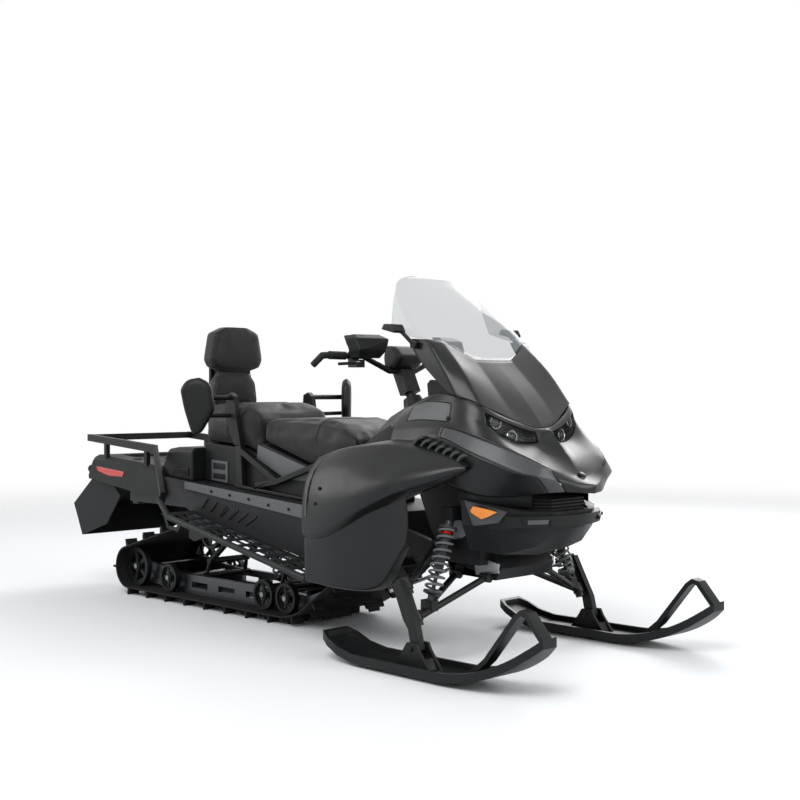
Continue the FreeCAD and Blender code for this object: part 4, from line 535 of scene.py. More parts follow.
NOSE_ROWS = (
    ((702, 214, 908), (702, 240, 892), (702, 262, 872), (703, 282, 850), (705, 302, 828), (708, 318, 790),
     (712, 312, 745), (712, 300, 702)),
    ((772, 227, 934), (772, 252, 915), (772, 274, 888), (773, 293, 859), (775, 312, 831), (777, 330, 790),
     (779, 323, 740), (779, 306, 696)),
    station(845, (240, 960), (264, 938), (286, 905), (304, 868), (323, 834), (341, 790), (332, 735),
            (312, 690)),
    ((985, 284, 958), (1004, 294, 927), (1008, 304, 893), (1010, 312, 857), (990, 326, 850), (990, 344, 822),
     (990, 338, 730), (990, 317, 645)),
    ((1064, 270, 938), (1070, 282, 914), (1078, 291, 884), (1088, 300, 852), (1098, 308, 817), (1105, 342, 762),
     (1102, 325, 680), (1095, 300, 606)),
    ((1104, 246, 916), (1118, 254, 899), (1132, 252, 852), (1152, 262, 824), (1178, 282, 791), (1190, 308, 729),
     (1180, 288, 655), (1160, 268, 596)),
    ((1126, 186, 886), (1147, 197, 875), (1158, 200, 808), (1192, 210, 788), (1250, 238, 758), (1264, 266, 690),
     (1246, 235, 645), (1225, 205, 600)),
    ((1142, 140, 868), (1160, 148, 857), (1173, 148, 789), (1225, 160, 764), (1322, 186, 716), (1330, 224, 675),
     (1333, 182, 648), (1334, 152, 618)),
    ((1154, 100, 854), (1171, 106, 841), (1183, 104, 785), (1255, 112, 746), (1330, 162, 699), (1346, 140, 666),
     (1356, 122, 644), (1360, 110, 620)),
    ((1168, 42, 838), (1183, 47, 823), (1190, 50, 784), (1274, 50, 735), (1345, 60, 677), (1387, 60, 649),
     (1400, 56, 634), (1399, 54, 615)),
    ((1172, 0, 835), (1186, 0, 833), (1214, 0, 825), (1290, 0, 738), (1349, 0, 669), (1411, 0, 641),
     (1412, 0, 628), (1404, 0, 611)),
)
print("nose skin rows", len(NOSE_ROWS))

# %% [markdown]
# One copy of the skin is kept for each region. The lamp's region is used twice: once as the clear
# lens, and once pushed in with a slight draft, as the pocket behind it.

# %% Nose shell
SHELL, LENS, COVER, STRIPE = 0, 1, 2, 3
POCKET_DRAFT, POCKET_DEPTH = 3.0, 42.0
LENS_GAP, LENS_WALL = 1.0, 2.5
NOSE_REGIONS = ((LENS, (5, 9), (1, 2)), (COVER, (1, 3), (1, 3)), (STRIPE, (3, 7), (4, 5)),
                (STRIPE, (7, 8), (4, 7)))
nose = smooth_skin(NOSE_ROWS, creases=(2, 4, 5), regions=NOSE_REGIONS)
face_away(nose, (1000, 0, 760))
panel("nose_shell", nose, SHELL, PAINTED_SHELL, "black_shell")
panel("nose_stripes", nose, STRIPE, GREY_SHELL, "grey_shell")
panel("dash_side_covers", nose, COVER, LIGHT_SHELL, "light_shell")
panel("headlight_lenses", nose, LENS, CLEAR_LENS, "clear_lens", gap_mm=LENS_GAP, wall_mm=LENS_WALL)
pocket = region(nose, LENS)
bmesh.ops.inset_region(pocket, faces=pocket.faces, thickness=POCKET_DRAFT * MM, depth=-POCKET_DEPTH * MM,
                       use_boundary=True, use_even_offset=True)
place("headlight_pockets", pocket, SOFT_BLACK, "black_plastic", sharp=25.0)
print("nose skin faces", len(nose.faces))
nose.free()

# %% [markdown]
# Under the screen the nose is closed by a flat deck that carries the instruments. It is one more
# small skin, with two rounds of subdivision, since nothing on it is curved much.

# %% Deck under the screen


def whole_panel(name, rows, middle, finish, slot, replaced, gap_mm, **settings):
    """One panel from a skin of its own, in place of some nodes."""
    skin = smooth_skin(rows, **settings)
    face_away(skin, middle)
    piece = panel(name, skin, 0, finish, slot, gap_mm=gap_mm)
    skin.free()
    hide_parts(*replaced)
    print(name, len(piece.data.polygons), "faces before the wall")


DECK_ROWS = (
    station(702, (214, 908), (120, 920), (0, 925)),
    station(845, (240, 959), (130, 952), (0, 948)),
    station(985, (284, 956), (150, 940), (0, 932)),
    station(1062, (268, 936), (140, 905), (0, 890)),
    ((1102, 244, 914), (1110, 130, 872), (1120, 0, 850)),
)
whole_panel("dash_deck", DECK_ROWS, (900, 0, 500), GRAINED_SHELL, "black_plastic",
            ("hood", "side_stripes", "dash_covers", "headlights"), gap_mm=0.0, levels=2)

# %% [markdown]
# The cowl is the folded shield between nose and screen: two long creases run down it on each side
# of a raised middle, and its flanks turn back to meet the screen's wings.

# %% Windshield cowl
COWL_ROWS = (
    ((775, 287, 1163), (872, 285, 1157), (886, 226, 1153), (915, 165, 1117), (936, 100, 1087), (937, 50, 1085),
     (937, 0, 1085)),
    ((800, 289, 1112), (945, 293, 1066), (992, 244, 1060), (1012, 180, 1024), (1036, 112, 988), (1040, 55, 990),
     (1042, 0, 990)),
    ((880, 291, 1035), (985, 293, 1005), (1048, 251, 990), (1070, 182, 958), (1096, 112, 922), (1104, 55, 920),
     (1110, 0, 918)),
    ((985, 292, 958), (1014, 291, 952), (1098, 256, 923), (1126, 182, 890), (1152, 108, 858), (1168, 50, 840),
     (1176, 0, 834)),
)
whole_panel("screen_cowl", COWL_ROWS, (800, 0, 900), PAINTED_SHELL, "black_shell", ("windshield_cowl",),
            gap_mm=0.8, creases=(1, 2, 4))

# %% [markdown]
# The screen is one sheet of smoked polycarbonate, heated and draped over a form,
# with both sides folded back into wings. Its cut edge shows as a pale line.

# %% Windshield
SCREEN_ROWS = (
    ((674, 278, 1197), (780, 284, 1164), (866, 281, 1159), (888, 224, 1154), (915, 160, 1118), (935, 100, 1088),
     (938, 0, 1087)),
    ((662, 262, 1250), (728, 268, 1242), (790, 258, 1238), (820, 200, 1235), (846, 140, 1218), (862, 80, 1202),
     (868, 0, 1198)),
    ((652, 244, 1312), (682, 246, 1318), (714, 232, 1322), (728, 186, 1324), (740, 126, 1322), (748, 64, 1318),
     (750, 0, 1317)),
    ((646, 226, 1352), (640, 220, 1376), (632, 190, 1396), (625, 150, 1407), (616, 100, 1414), (610, 50, 1418),
     (608, 0, 1419)),
)
whole_panel("screen_sheet", SCREEN_ROWS, (600, 0, 1150), SMOKE_SCREEN, "smoke_screen", ("windshield",),
            gap_mm=0.0)

# %% [markdown]
# Each side panel is a blow-moulded wing that bulges over the rider's foot, above a flatter wall.
# A crease runs along the bulge's lower edge and on into the tip beside the nose. One side is
# drawn, and a mirror adds the other.

# %% Side panels
WING_ROWS = (
    station(440, (212, 702), (330, 712), (430, 716), (474, 676), (499, 618), (512, 545), (513, 470), (510, 436),
            (497, 418), (470, 414)),
    station(520, (212, 736), (330, 742), (428, 742), (478, 696), (506, 632), (521, 550), (521, 472), (518, 434),
            (503, 416), (470, 412)),
    station(600, (212, 766), (325, 768), (421, 763), (476, 712), (509, 645), (525, 575), (525, 500), (521, 462),
            (502, 440), (468, 436)),
    station(740, (225, 798), (320, 794), (406, 772), (466, 712), (504, 655), (522, 610), (522, 572), (518, 545),
            (484, 520), (450, 516)),
    station(840, (250, 800), (320, 795), (390, 769), (446, 712), (484, 668), (504, 634), (506, 608), (501, 588),
            (456, 564), (420, 562)),
    station(900, (270, 798), (325, 790), (376, 762), (425, 722), (463, 690), (484, 660), (487, 636), (482, 616),
            (438, 596), (396, 598)),
    station(1000, (302, 780), (335, 762), (367, 742), (398, 716), (424, 694), (435, 676), (437, 664),
            (432, 650), (403, 632), (372, 636)),
    ((1092, 322, 730), (1092, 335, 727), (1093, 350, 721), (1094, 360, 714), (1096, 367, 706), (1096, 369, 699),
     (1096, 368, 692), (1095, 364, 687), (1094, 350, 682), (1092, 334, 686)),
    ((1112, 328, 706), (1113, 334, 706), (1114, 342, 706), (1115, 347, 705), (1116, 350, 703), (1116, 351, 701),
     (1116, 350, 699), (1115, 347, 698), (1114, 342, 697), (1112, 332, 698)),
)
WALL_ROWS = (
    station(440, (498, 424), (500, 410), (499, 378), (498, 325), (497, 264), (472, 256), (420, 255)),
    station(520, (504, 420), (504, 406), (499, 374), (496, 320), (493, 256), (468, 248), (420, 248)),
    station(600, (503, 444), (503, 430), (498, 390), (494, 325), (488, 250), (464, 242), (416, 242)),
    station(740, (484, 524), (484, 508), (474, 425), (464, 335), (453, 249), (432, 242), (396, 242)),
    station(800, (470, 548), (470, 530), (456, 445), (446, 365), (439, 280), (420, 274), (392, 274)),
    ((845, 456, 568), (845, 455, 550), (848, 446, 485), (850, 438, 425), (852, 432, 366), (852, 418, 360),
     (850, 396, 360)),
    ((920, 448, 598), (926, 446, 576), (928, 440, 524), (922, 434, 474), (905, 428, 430), (900, 416, 426),
     (896, 398, 428)),
)
for name, rows, creases in (("side_wings", WING_ROWS, (2, 7)), ("side_walls", WALL_ROWS, (4,))):
    half = smooth_skin(rows, creases=creases, mirror=False)
    face_away(half, (700, 330, 500))
    add_mirror(half)
    piece = panel(name, half, 0, PAINTED_SHELL, "black_shell", gap_mm=0.6)
    half.free()
    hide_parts("side_panels")
    print(name, [[round(v, 3) for v in piece.bound_box[corner]] for corner in (0, 6)])

# %% [markdown]
# The frame closes the space behind the nose with its engine bay, and daylight must not show between
# the lower lip and the belly pan. A strip of sheet does that on the real machine: one chain of points
# is extruded upwards and mirrored, which is the quickest way to a bent strip.

# %% Nose liner
LINER_LINE = ((1030, -296), (1090, -286), (1150, -254), (1208, -206), (1256, -162))
LINER_LOW, LINER_HIGH, LINER_WALL = 566, 636, 3
TOUCH = 0.01 * MM


def chain(mesh, points):
    """Open line of edges through points in mm, each one drawn out of the last."""
    verts = bmesh.ops.create_vert(mesh, co=Vector(points[0]) * MM)["vert"]
    for point in points[1:]:
        new = bmesh.ops.extrude_vert_indiv(mesh, verts=[verts[-1]])["verts"][0]
        new.co = Vector(point) * MM
        verts.append(new)
    return verts, [edge for edge in mesh.edges if edge.verts[0] in verts and edge.verts[1] in verts]


def mirrored(mesh):
    """Add the other side, and turn all faces outwards."""
    add_mirror(mesh)
    bmesh.ops.remove_doubles(mesh, verts=mesh.verts, dist=TOUCH)
    bmesh.ops.recalc_face_normals(mesh, faces=mesh.faces)


liner = bmesh.new()
_, line_edges = chain(liner, [(x, y, LINER_LOW) for x, y in LINER_LINE])
raised = bmesh.ops.extrude_edge_only(liner, edges=line_edges)["geom"]
bmesh.ops.translate(liner, vec=(0, 0, (LINER_HIGH - LINER_LOW) * MM),
                    verts=[item for item in raised if isinstance(item, bmesh.types.BMVert)])
mirrored(liner)
give_wall(place("nose_liner", liner, GRAINED_SHELL, "black_plastic"), LINER_WALL)
print("nose liner points", len(LINER_LINE))

# %% [markdown]
# Round parts are turned, as on a lathe: an outline of distance and radius is drawn once and spun a
# full circle. The two headlights on each side are projectors: a domed glass in a bright ring,
# set into a black barrel that looks forwards.

# %% Headlight projectors


def facing(at, axis):
    """Matrix that stands on a point in mm with its Z along an axis."""
    return Matrix.Translation(Vector(at) * MM) @ Vector(axis).to_track_quat("Z", "Y").to_matrix().to_4x4()


def turned(mesh, outline, at, axis, steps=28):
    """Spin an outline of (distance along, radius) in mm about an axis through a point."""
    seat = facing(at, axis)
    verts, edges = chain(mesh, [seat @ (Vector((radius, 0, along)) * MM) / MM for along, radius in outline])
    bmesh.ops.spin(mesh, geom=verts + edges, cent=Vector(at) * MM, axis=Vector(axis).normalized(),
                   dvec=(0, 0, 0), angle=math.tau, steps=steps, use_merge=True, use_duplicate=False)
    bmesh.ops.remove_doubles(mesh, verts=mesh.verts, dist=TOUCH)


# place x, y, z and direction x, y, z
LAMP_PLACES = ((1128, 208, 857, 0.94, 0.30, 0.16), (1146, 140, 807, 0.97, 0.18, 0.14))
BARREL = ((-34, 0), (-34, 20), (-6, 27), (0, 27), (1.5, 25.5), (0, 24), (-8, 23), (-8, 0))
RING = ((-4, 19), (-4, 23), (2, 23.5), (4, 22), (3, 19.5), (-1, 19), (-4, 19))
DOME = ((-6, 0), (-6, 19.2), (0, 18.6), (5, 15.5), (8.5, 10.5), (10, 5), (10.4, 0))
for name, outline, finish, slot in (("projector_barrels", BARREL, SOFT_BLACK, "black_plastic"),
                                    ("projector_rings", RING, BRIGHT_CHROME, "bare_steel"),
                                    ("projector_glasses", DOME, CLEAR_GLASS, "clear_lens")):
    lamps = bmesh.new()
    for x, y, z, ax, ay, az in LAMP_PLACES:
        turned(lamps, outline, (x, -y, z), (ax, -ay, az))
    mirrored(lamps)
    place(name, lamps, finish, slot)
print("projectors", 2 * len(LAMP_PLACES))

# %% [markdown]
# Small turned caps finish the tail: a rubber buffer at each rear corner, where the bodywork would
# otherwise touch a wall first. On the nose a plain disc fills the round seat on the centre line.
# A flat disc of the darkest rubber on each side of the tail is painted shade: it stands for the
# shade inside a hand hole.

# %% Turned caps
CAPS = (("tail_buffers", ((-3, 0), (-3, 19), (14, 19), (18, 17), (20, 13), (20, 0)), (-1397, -286, 590),
         (-1, 0, 0), FLAP_RUBBER, "soft_rubber"),
        ("nose_discs", ((-3, 0), (-3, 15), (1, 15), (2.5, 13), (3, 0)), (1352, 0, 676),
         (0.56, -0.02, 0.83), BLACK_STEEL, "black_metal"),
        # Painted shade: a flat dark disc stands for the shade inside each hand hole of the tail.
        ("tail_hand_hole_painted_shade", ((-3, 0), (-3, 22), (1.5, 22), (2.5, 20), (0.5, 17), (0.5, 0)), (-1086, -232, 645),
         (0.07, 0, 1), TRACK_RUBBER, "soft_rubber"))
for name, outline, at, axis, finish, slot in CAPS:
    cap = bmesh.new()
    turned(cap, outline, at, axis)
    if at[1]:
        mirrored(cap)
    else:
        bmesh.ops.recalc_face_normals(cap, faces=cap.faces)
    place(name, cap, finish, slot)
print("turned caps", len(CAPS))

# %% [markdown]
# Flat trim is cut from an outline: the corners are joined into one face, which is extruded to its
# thickness and bevelled. The front reflector sits on a grey plate beside the nose, and the same
# helper makes the seat's side panels and the plates of the rear box. Dark sheets laid in the slots
# of the rear box and the seat base are painted shade, which stands for the shade inside the slots.

# %% Flat trim


def plate(mesh, outline, thick_mm, edge_mm, toward):
    """Plate from corner points in mm, raised towards a direction, with rounded edges."""
    corners = [bmesh.ops.create_vert(mesh, co=Vector(point) * MM)["vert"][0] for point in outline]
    base = bmesh.ops.contextual_create(mesh, geom=corners)["faces"]
    top = bmesh.ops.extrude_face_region(mesh, geom=base, use_keep_orig=True)["geom"]
    bmesh.ops.translate(mesh, vec=Vector(toward).normalized() * thick_mm * MM,
                        verts=[item for item in top if isinstance(item, bmesh.types.BMVert)])
    bmesh.ops.recalc_face_normals(mesh, faces=mesh.faces)
    rim = {edge for item in top if isinstance(item, bmesh.types.BMFace) for edge in item.edges}
    bmesh.ops.bevel(mesh, geom=list(rim), offset=edge_mm * MM, offset_type="OFFSET", affect="EDGES", segments=2,
                    profile=0.5, material=-1, clamp_overlap=True)


def upright(y, *places):
    """Outline of a plate that stands along the machine, all at one y."""
    return tuple((x, y, z) for x, z in places)


OUTWARDS, SIDEWAYS = (0.45, -0.88, -0.10), (0, -1, 0)
REFLECTOR_PLATE = ((1061, -297, 588), (1128, -288, 575), (1216, -242, 552), (1184, -253, 512),
                   (1132, -279, 504), (1092, -284, 498))
REFLECTOR_LENS = ((1088, -294, 552), (1102, -293, 568), (1134, -288, 563), (1163, -273, 557),
                  (1184, -261, 549), (1153, -274, 532), (1132, -284, 524), (1094, -291, 542))
SEAT_PANEL = upright(-201, (-214, 740), (120, 652), (196, 630), (130, 600), (-25, 600), (-222, 680))
CAST_PLATE = upright(-150, (925, 400), (972, 412), (994, 366), (1044, 362), (1098, 352), (1098, 318),
                     (990, 302), (984, 338), (938, 384))
ALLOY_FIN = upright(-206, (905, 556), (1008, 462), (972, 440), (930, 428), (902, 444))
BOX_SLOT = upright(-269, (-768, 624), (-627, 624), (-627, 592), (-752, 592))
BOX_SHADOW = upright(-274, (-750, 617), (-640, 617), (-640, 600), (-742, 600))
BASE_PLATE = upright(-201, (-544, 664), (-428, 658), (-428, 566), (-544, 574))
# Painted shade: two dark sheets stand for the shade inside the seat base's slots.
BASE_UPPER_SHADE = upright(-205, (-530, 652), (-442, 648), (-442, 622), (-530, 625))
BASE_LOWER_SHADE = upright(-205, (-530, 606), (-442, 603), (-442, 579), (-530, 582))
# name, outline, thickness, edge, direction, finish, slot
TRIMS = (("bulkhead_castings", CAST_PLATE, 10.0, 3.0, (0.2, -1, 0), CAST_ALLOY, "cast_alloy"),
         ("alloy_fins", ALLOY_FIN, 4.0, 1.2, (0.3, -1, 0), CAST_ALLOY, "cast_alloy"),
         ("box_latch_frames", BOX_SLOT, 5.0, 2.0, SIDEWAYS, GRAINED_SHELL, "black_plastic"),
         # Painted shade: a thin sheet of the darkest rubber stands for the shade inside the box's latch slot.
         ("box_latch_slot_painted_shade", BOX_SHADOW, 1.5, 0.5, SIDEWAYS, TRACK_RUBBER, "soft_rubber"),
         ("seat_base_frames", BASE_PLATE, 4.0, 1.5, SIDEWAYS, PANEL_GREY, "light_shell"),
         # Painted shade in the seat base's slots: black plastic in the upper one, darker rubber in the lower
         # one.
         ("seat_base_upper_slot_painted_shade", BASE_UPPER_SHADE, 1.5, 0.5, SIDEWAYS, GRAINED_SHELL, "black_plastic"),
         ("seat_base_lower_slot_painted_shade", BASE_LOWER_SHADE, 1.5, 0.5, SIDEWAYS, TRACK_RUBBER, "soft_rubber"),
         ("reflector_plates", REFLECTOR_PLATE, 6.0, 2.0, OUTWARDS, GREY_SHELL, "grey_shell"),
         ("reflector_lenses", REFLECTOR_LENS, 9.0, 2.5, OUTWARDS, AMBER_LENS, "amber_lens"),
         ("seat_side_panels", SEAT_PANEL, 4.5, 2.0, SIDEWAYS, PANEL_GREY, "light_shell"))
for name, outline, thick_mm, edge_mm, toward, finish, slot in TRIMS:
    trim = bmesh.new()
    plate(trim, outline, thick_mm, edge_mm, toward)
    mirrored(trim)
    piece = place(name, trim, finish, slot)
    if name == "reflector_lenses":
        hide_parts("reflectors")
    print(name, len(piece.data.polygons), "faces")

# %% [markdown]
# A bolt head is a washer with a chamfered hexagon on it.
# They are made by the dozen, so each has only a few faces.

# %% Bolts
# sides, lower and upper radius, foot and height, all as shares of the width across flats
WASHER, HEXAGON = (14, 0.85, 0.80, 0.0, 0.14), (6, 0.577, 0.50, 0.14, 0.50)
# place x, y, z, direction x, y, z, width across flats
BOLTS = (
    (540, -517, 611, 0, -1, 0.2, 9), (524, -523, 554, 0, -1, 0, 9), (992, -306, 872, 0.15, -0.9, 0.45, 10),
    (1270, -219, 520, 0.77, -0.63, 0, 11), (1320, -136, 514, 0.92, -0.39, 0, 11),
    (-153, -304, 517, 0, -1, 0, 8), (-23, -304, 501, 0, -1, 0, 8), (-283, -304, 526, 0, -1, 0, 8),
    (-413, -304, 535, 0, -1, 0, 8), (107, -304, 492, 0, -1, 0, 8),
)
bolts = bmesh.new()
for x, y, z, ax, ay, az, across_mm in BOLTS:
    size = across_mm * MM
    for sides, low, high, foot, tall in (WASHER, HEXAGON):
        bmesh.ops.create_cone(bolts, cap_ends=True, segments=sides, radius1=low * size, radius2=high * size,
                              depth=tall * size, matrix=facing((x, y, z), (ax, ay, az))
                              @ Matrix.Translation((0, 0, (foot + tall / 2) * size)))
mirrored(bolts)
place("body_bolts", bolts, BLACK_STEEL, "black_metal")
print("bolts", 2 * len(BOLTS))

# %% [markdown]
# A light plate is let into the bumper's face on each side. It follows the bumper's curve, so its
# section is spun through a few degrees about the same centre.

# %% Bumper plates
BUMPER_CENTRE = Vector((999, 0, 0)) * MM
PLATE_IN, PLATE_OUT, PLATE_LOW, PLATE_HIGH = 1343, 1348, 509, 524
PLATE_FROM, PLATE_TO = math.radians(-37.0), math.radians(-24.0)
bumper_plates = bmesh.new()
corners = [bmesh.ops.create_vert(bumper_plates, co=Vector((x, 0, z)) * MM)["vert"][0]
           for x, z in ((PLATE_IN, PLATE_LOW), (PLATE_OUT, PLATE_LOW), (PLATE_OUT, PLATE_HIGH),
                        (PLATE_IN, PLATE_HIGH))]
start_face = bmesh.ops.contextual_create(bumper_plates, geom=corners)["faces"]
bmesh.ops.rotate(bumper_plates, cent=BUMPER_CENTRE, matrix=Matrix.Rotation(PLATE_FROM, 3, "Z"),
                 verts=bumper_plates.verts)
bmesh.ops.spin(bumper_plates, geom=start_face + start_face[0].edges[:] + start_face[0].verts[:],
               cent=BUMPER_CENTRE, axis=(0, 0, 1), dvec=(0, 0, 0), angle=PLATE_TO - PLATE_FROM, steps=6,
               use_merge=False, use_duplicate=False)
mirrored(bumper_plates)
plates = place("bumper_plates", bumper_plates, RAIL_ALLOY, "rail_alloy")
print("bumper plate faces", len(plates.data.polygons))

# %% [markdown]
# A coil spring is a circle spun round the damper while it moves along it: spin takes a small step
# of travel with each step of turn. The dampers, collars and eyes are turned.

# %% Springs and dampers
COIL_STEPS, WIRE_SIDES = 18, 8
SPRING_TOP, SPRING_END = 46, 44  # clear of the eyes, in mm


def coil(mesh, top, bottom, radius_mm, wire_mm, turns):
    """Helical spring between two points in mm."""
    run = bottom - top
    wire = bmesh.ops.create_circle(mesh, cap_ends=True, segments=WIRE_SIDES, radius=wire_mm * MM,
                                   matrix=facing(top, run) @ Matrix.Translation((radius_mm * MM, 0, 0))
                                   @ Matrix.Rotation(math.pi / 2, 4, "X"))["verts"]
    edges = list({edge for vert in wire for edge in vert.link_edges})
    faces = list({face for vert in wire for face in vert.link_faces})
    steps = turns * COIL_STEPS
    bmesh.ops.spin(mesh, geom=wire + edges + faces, cent=top * MM, axis=run.normalized(), dvec=run * MM / steps,
                   angle=math.tau * turns, steps=steps, use_merge=False, use_duplicate=False)


# top, bottom, coil radius, wire radius, turns; a shock off the centre line has a twin
SHOCKS = (((985, -284, 520), (985, -392, 226), 29, 4.6, 9), ((90, 0, 330), (30, 0, 128), 27, 5.0, 7),
          ((-470, 0, 362), (-265, 0, 120), 30, 5.0, 8))
EYE = ((-15, 8), (-15, 13), (-13, 16), (13, 16), (15, 13), (15, 8), (-15, 8))
COLLAR = ((52, 18), (52, 22), (55, 23.5), (60, 23.5), (63, 22), (63, 18), (52, 18))
springs, dampers, adjusters = bmesh.new(), bmesh.new(), bmesh.new()
for top, bottom, radius_mm, wire_mm, turns in SHOCKS:
    seat_mm, rim_mm = radius_mm + 3, radius_mm + 5
    for side in (1, -1) if top[1] else (1,):
        high, low = (Vector((x, side * y, z)) for x, y, z in (top, bottom))
        length, down = (low - high).length, (low - high).normalized()
        coil(springs, high + down * SPRING_TOP, low - down * SPRING_END, radius_mm, wire_mm, turns)
        body = ((14, 0), (14, 15), (30, 17), (34, seat_mm), (40, rim_mm), (45, seat_mm), (47, 18),
                (length * 0.62, 18), (length * 0.64, 15), (length * 0.65, 7))
        rod = ((44, 7), (44, seat_mm), (38, rim_mm), (33, seat_mm), (28, 13), (12, 12), (12, 0))
        turned(dampers, body + tuple((length - up, radius) for up, radius in rod), high, down)
        turned(adjusters, COLLAR, high, down)
        for eye in (high, low):
            turned(dampers, EYE, eye, (1, 0, 0) if top[1] else (0, 1, 0))
for mesh in (springs, dampers, adjusters):
    bmesh.ops.recalc_face_normals(mesh, faces=mesh.faces)
print("spring faces", len(springs.faces))
place("shock_springs", springs, SPRING_STEEL, "black_metal")
damper_piece = place("shock_dampers", dampers, DAMPER_GREY, "bare_steel")
place("shock_adjusters", adjusters, RED_ANODISED, "red_lens")
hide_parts("front_shocks", "rear_shocks")

# %% [markdown]
# The light edge of the side panel's rear flange and the pressed ribs of the tunnel are rods half
# sunk in the sheet: circles set along a line and bridged, ring to ring.

# %% Swept rods


def sweep(mesh, points, radius_mm, sides=8):
    """Round rod through points in mm, with closed ends."""
    rings = []
    last = len(points) - 1
    for step, point in enumerate(points):
        way = Vector(points[min(step + 1, last)]) - Vector(points[max(step - 1, 0)])
        ring = bmesh.ops.create_circle(mesh, cap_ends=step in (0, last), segments=sides, radius=radius_mm * MM,
                                       matrix=facing(point, way))["verts"]
        rings.append(list({edge for vert in ring for edge in vert.link_edges}))
    for first, second in zip(rings, rings[1:]):
        bmesh.ops.bridge_loops(mesh, edges=first + second)


EDGE_LINE = ((481, -452, 714), (474, -487, 672), (469, -509, 618), (467, -519, 560), (466, -520, 505))
EDGE_RADIUS, RIB_RADIUS = 3.2, 5.0
RIB_LINES = (((-356, 431), (-309, 469)), ((-296, 424), (-236, 464)), ((-241, 414), (-172, 456)),
             ((-184, 404), (-112, 447)))
strip = bmesh.new()
sweep(strip, EDGE_LINE, EDGE_RADIUS)
mirrored(strip)
place("panel_edge_strips", strip, LIGHT_SHELL, "light_shell")
ribs = bmesh.new()
for (x0, z0), (x1, z1) in RIB_LINES:
    sweep(ribs, ((x0, -291, z0), (x0 + 6, -292, z0 + 5), (x1 - 6, -292, z1 - 5), (x1, -291, z1)), RIB_RADIUS)
mirrored(ribs)
place("tunnel_ribs", ribs, BLACK_TUNNEL, "black_metal")
print("ribs", 2 * len(RIB_LINES))

# %% [markdown]
# The cushions are vinyl covers over foam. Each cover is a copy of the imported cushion, drawn in a
# little and turned into even cells. A cloth simulation then blows it up while its base stays sewn
# down, and on the back pads the seams are held half fast too, so that the panels between them crown.

# %% Covers of the cushions
from mathutils.bvhtree import BVHTree
from mathutils.kdtree import KDTree

STITCH_MM, WELT_MM, WELT_RADIUS = 8.0, 12.0, 2.8
UNDERSIDE = -0.7  # a point counts as the base where its normal leans at least this far away


def stepped(points, pitch_mm):
    """Points every few mm along a line."""
    out = []
    for first, second in zip(points, points[1:]):
        run = Vector(second) - Vector(first)
        count = max(1, round(run.length / pitch_mm))
        out += [Vector(first) + run * (step / count) for step in range(count)]
    return out + [Vector(points[-1])]


HEADREST = ((80, 1059), (131, 1074), (150, 1110), (127, 1234), (60, 1264))
BACK_PAD = ((84, 1050), (116, 1009), (132, 904))
LUMBAR = ((130, 896), (118, 742))
SEAMS = {
    "driver_seat": [[(170, -207, 760), (170, -206, 845), (170, 206, 845), (170, 207, 760)]],
    "passenger_seat": [[(-420, -205, 760), (-420, -204, 905), (-420, 204, 905), (-420, 205, 760)]],
    "back_pads": [[(-622, side * y, z) for y, z in line] for line in (HEADREST, BACK_PAD, LUMBAR)
                  for side in (1, -1)]
    + [[(-622, -60, 1264), (-622, 60, 1264)], [(-622, -80, 1059), (-622, 80, 1059)]],
}
# node: cell, drawn in, rounds of smoothing, fill, hold of the seams
CUSHIONS = {"driver_seat": (6.0, 6.0, 16, 0.8, 0.0), "passenger_seat": (6.0, 6.0, 16, 0.8, 0.0),
            "back_pads": (5.5, 5.0, 12, 0.85, 0.5)}
covers = {}
for node, (cell_mm, shrink_mm, rounds, fill, hold) in CUSHIONS.items():
    cover = place(node + "_cover", merged_copy(node), SEAT_VINYL, "seat_vinyl")
    to_even_cells(cover, cell_mm, rounds, shrink_mm)
    stitches = [point * MM for line in SEAMS[node] for point in stepped(line, STITCH_MM)]
    tree = KDTree(len(stitches))
    for index, point in enumerate(stitches):
        tree.insert(point, index)
    tree.balance()
    sewn = cover.vertex_groups.new(name="sewn")
    for vert in cover.data.vertices:
        near = tree.find(vert.co)[2] < (cell_mm + shrink_mm) * MM
        under = (vert.normal.x if node == "back_pads" else vert.normal.z) < UNDERSIDE
        if near or under:
            sewn.add([vert.index], 1.0 if under else hold, "REPLACE")
    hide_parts(node)
    covers[node] = cover
    print(cover.name, len(cover.data.vertices), "points")

# %% [markdown]
# All covers are filled at once. A point may move only as far as the foam really swells, and
# the result is kept as plain mesh. The fill stands for foam: air pressure with stiff cloth round it.

# %% Fill the cushions
SIM_FRAMES = 20
FILLING = {"quality": 5, "bending_stiffness": 8.0, "tension_stiffness": 25.0, "use_pressure": True,
           "uniform_pressure_force": 4.0, "vertex_group_mass": "sewn"}
SWELL_MM = {"driver_seat": 10.0, "passenger_seat": 10.0, "back_pads": 8.0}
starts = {node: [vert.co.copy() for vert in cover.data.vertices] for node, cover in covers.items()}
for cover in covers.values():
    filling = cover.modifiers.new("filling", "CLOTH")
    for key, value in FILLING.items():
        setattr(filling.settings, key, value)
    filling.settings.effector_weights.gravity = 0.0
    filling.point_cache.frame_start = 1
    filling.point_cache.frame_end = SIM_FRAMES
for step in range(1, SIM_FRAMES + 1):
    SCENE.frame_set(step)
graph = bpy.context.evaluated_depsgraph_get()
for node, cover in covers.items():
    filled = bpy.data.meshes.new_from_object(cover.evaluated_get(graph))
    furthest, most = 0.0, SWELL_MM[node] * MM
    for vert, before in zip(filled.vertices, starts[node]):
        move = vert.co - before
        furthest = max(furthest, move.length)
        if move.length > most:
            vert.co = before + move.normalized() * most
    cover.modifiers.clear()
    cover.data = filled
    print(cover.name, "moved at most", round(furthest / MM, 1), "mm")
SCENE.frame_set(1)

# %% [markdown]
# Filled cloth keeps small puckers, which foam would push out, so the covers are ironed: a few rounds
# of smoothing, and one subdivision for a soft outline. The seams are piped with a thin welt of the
# same vinyl, which follows its seam line dropped onto the finished cover.

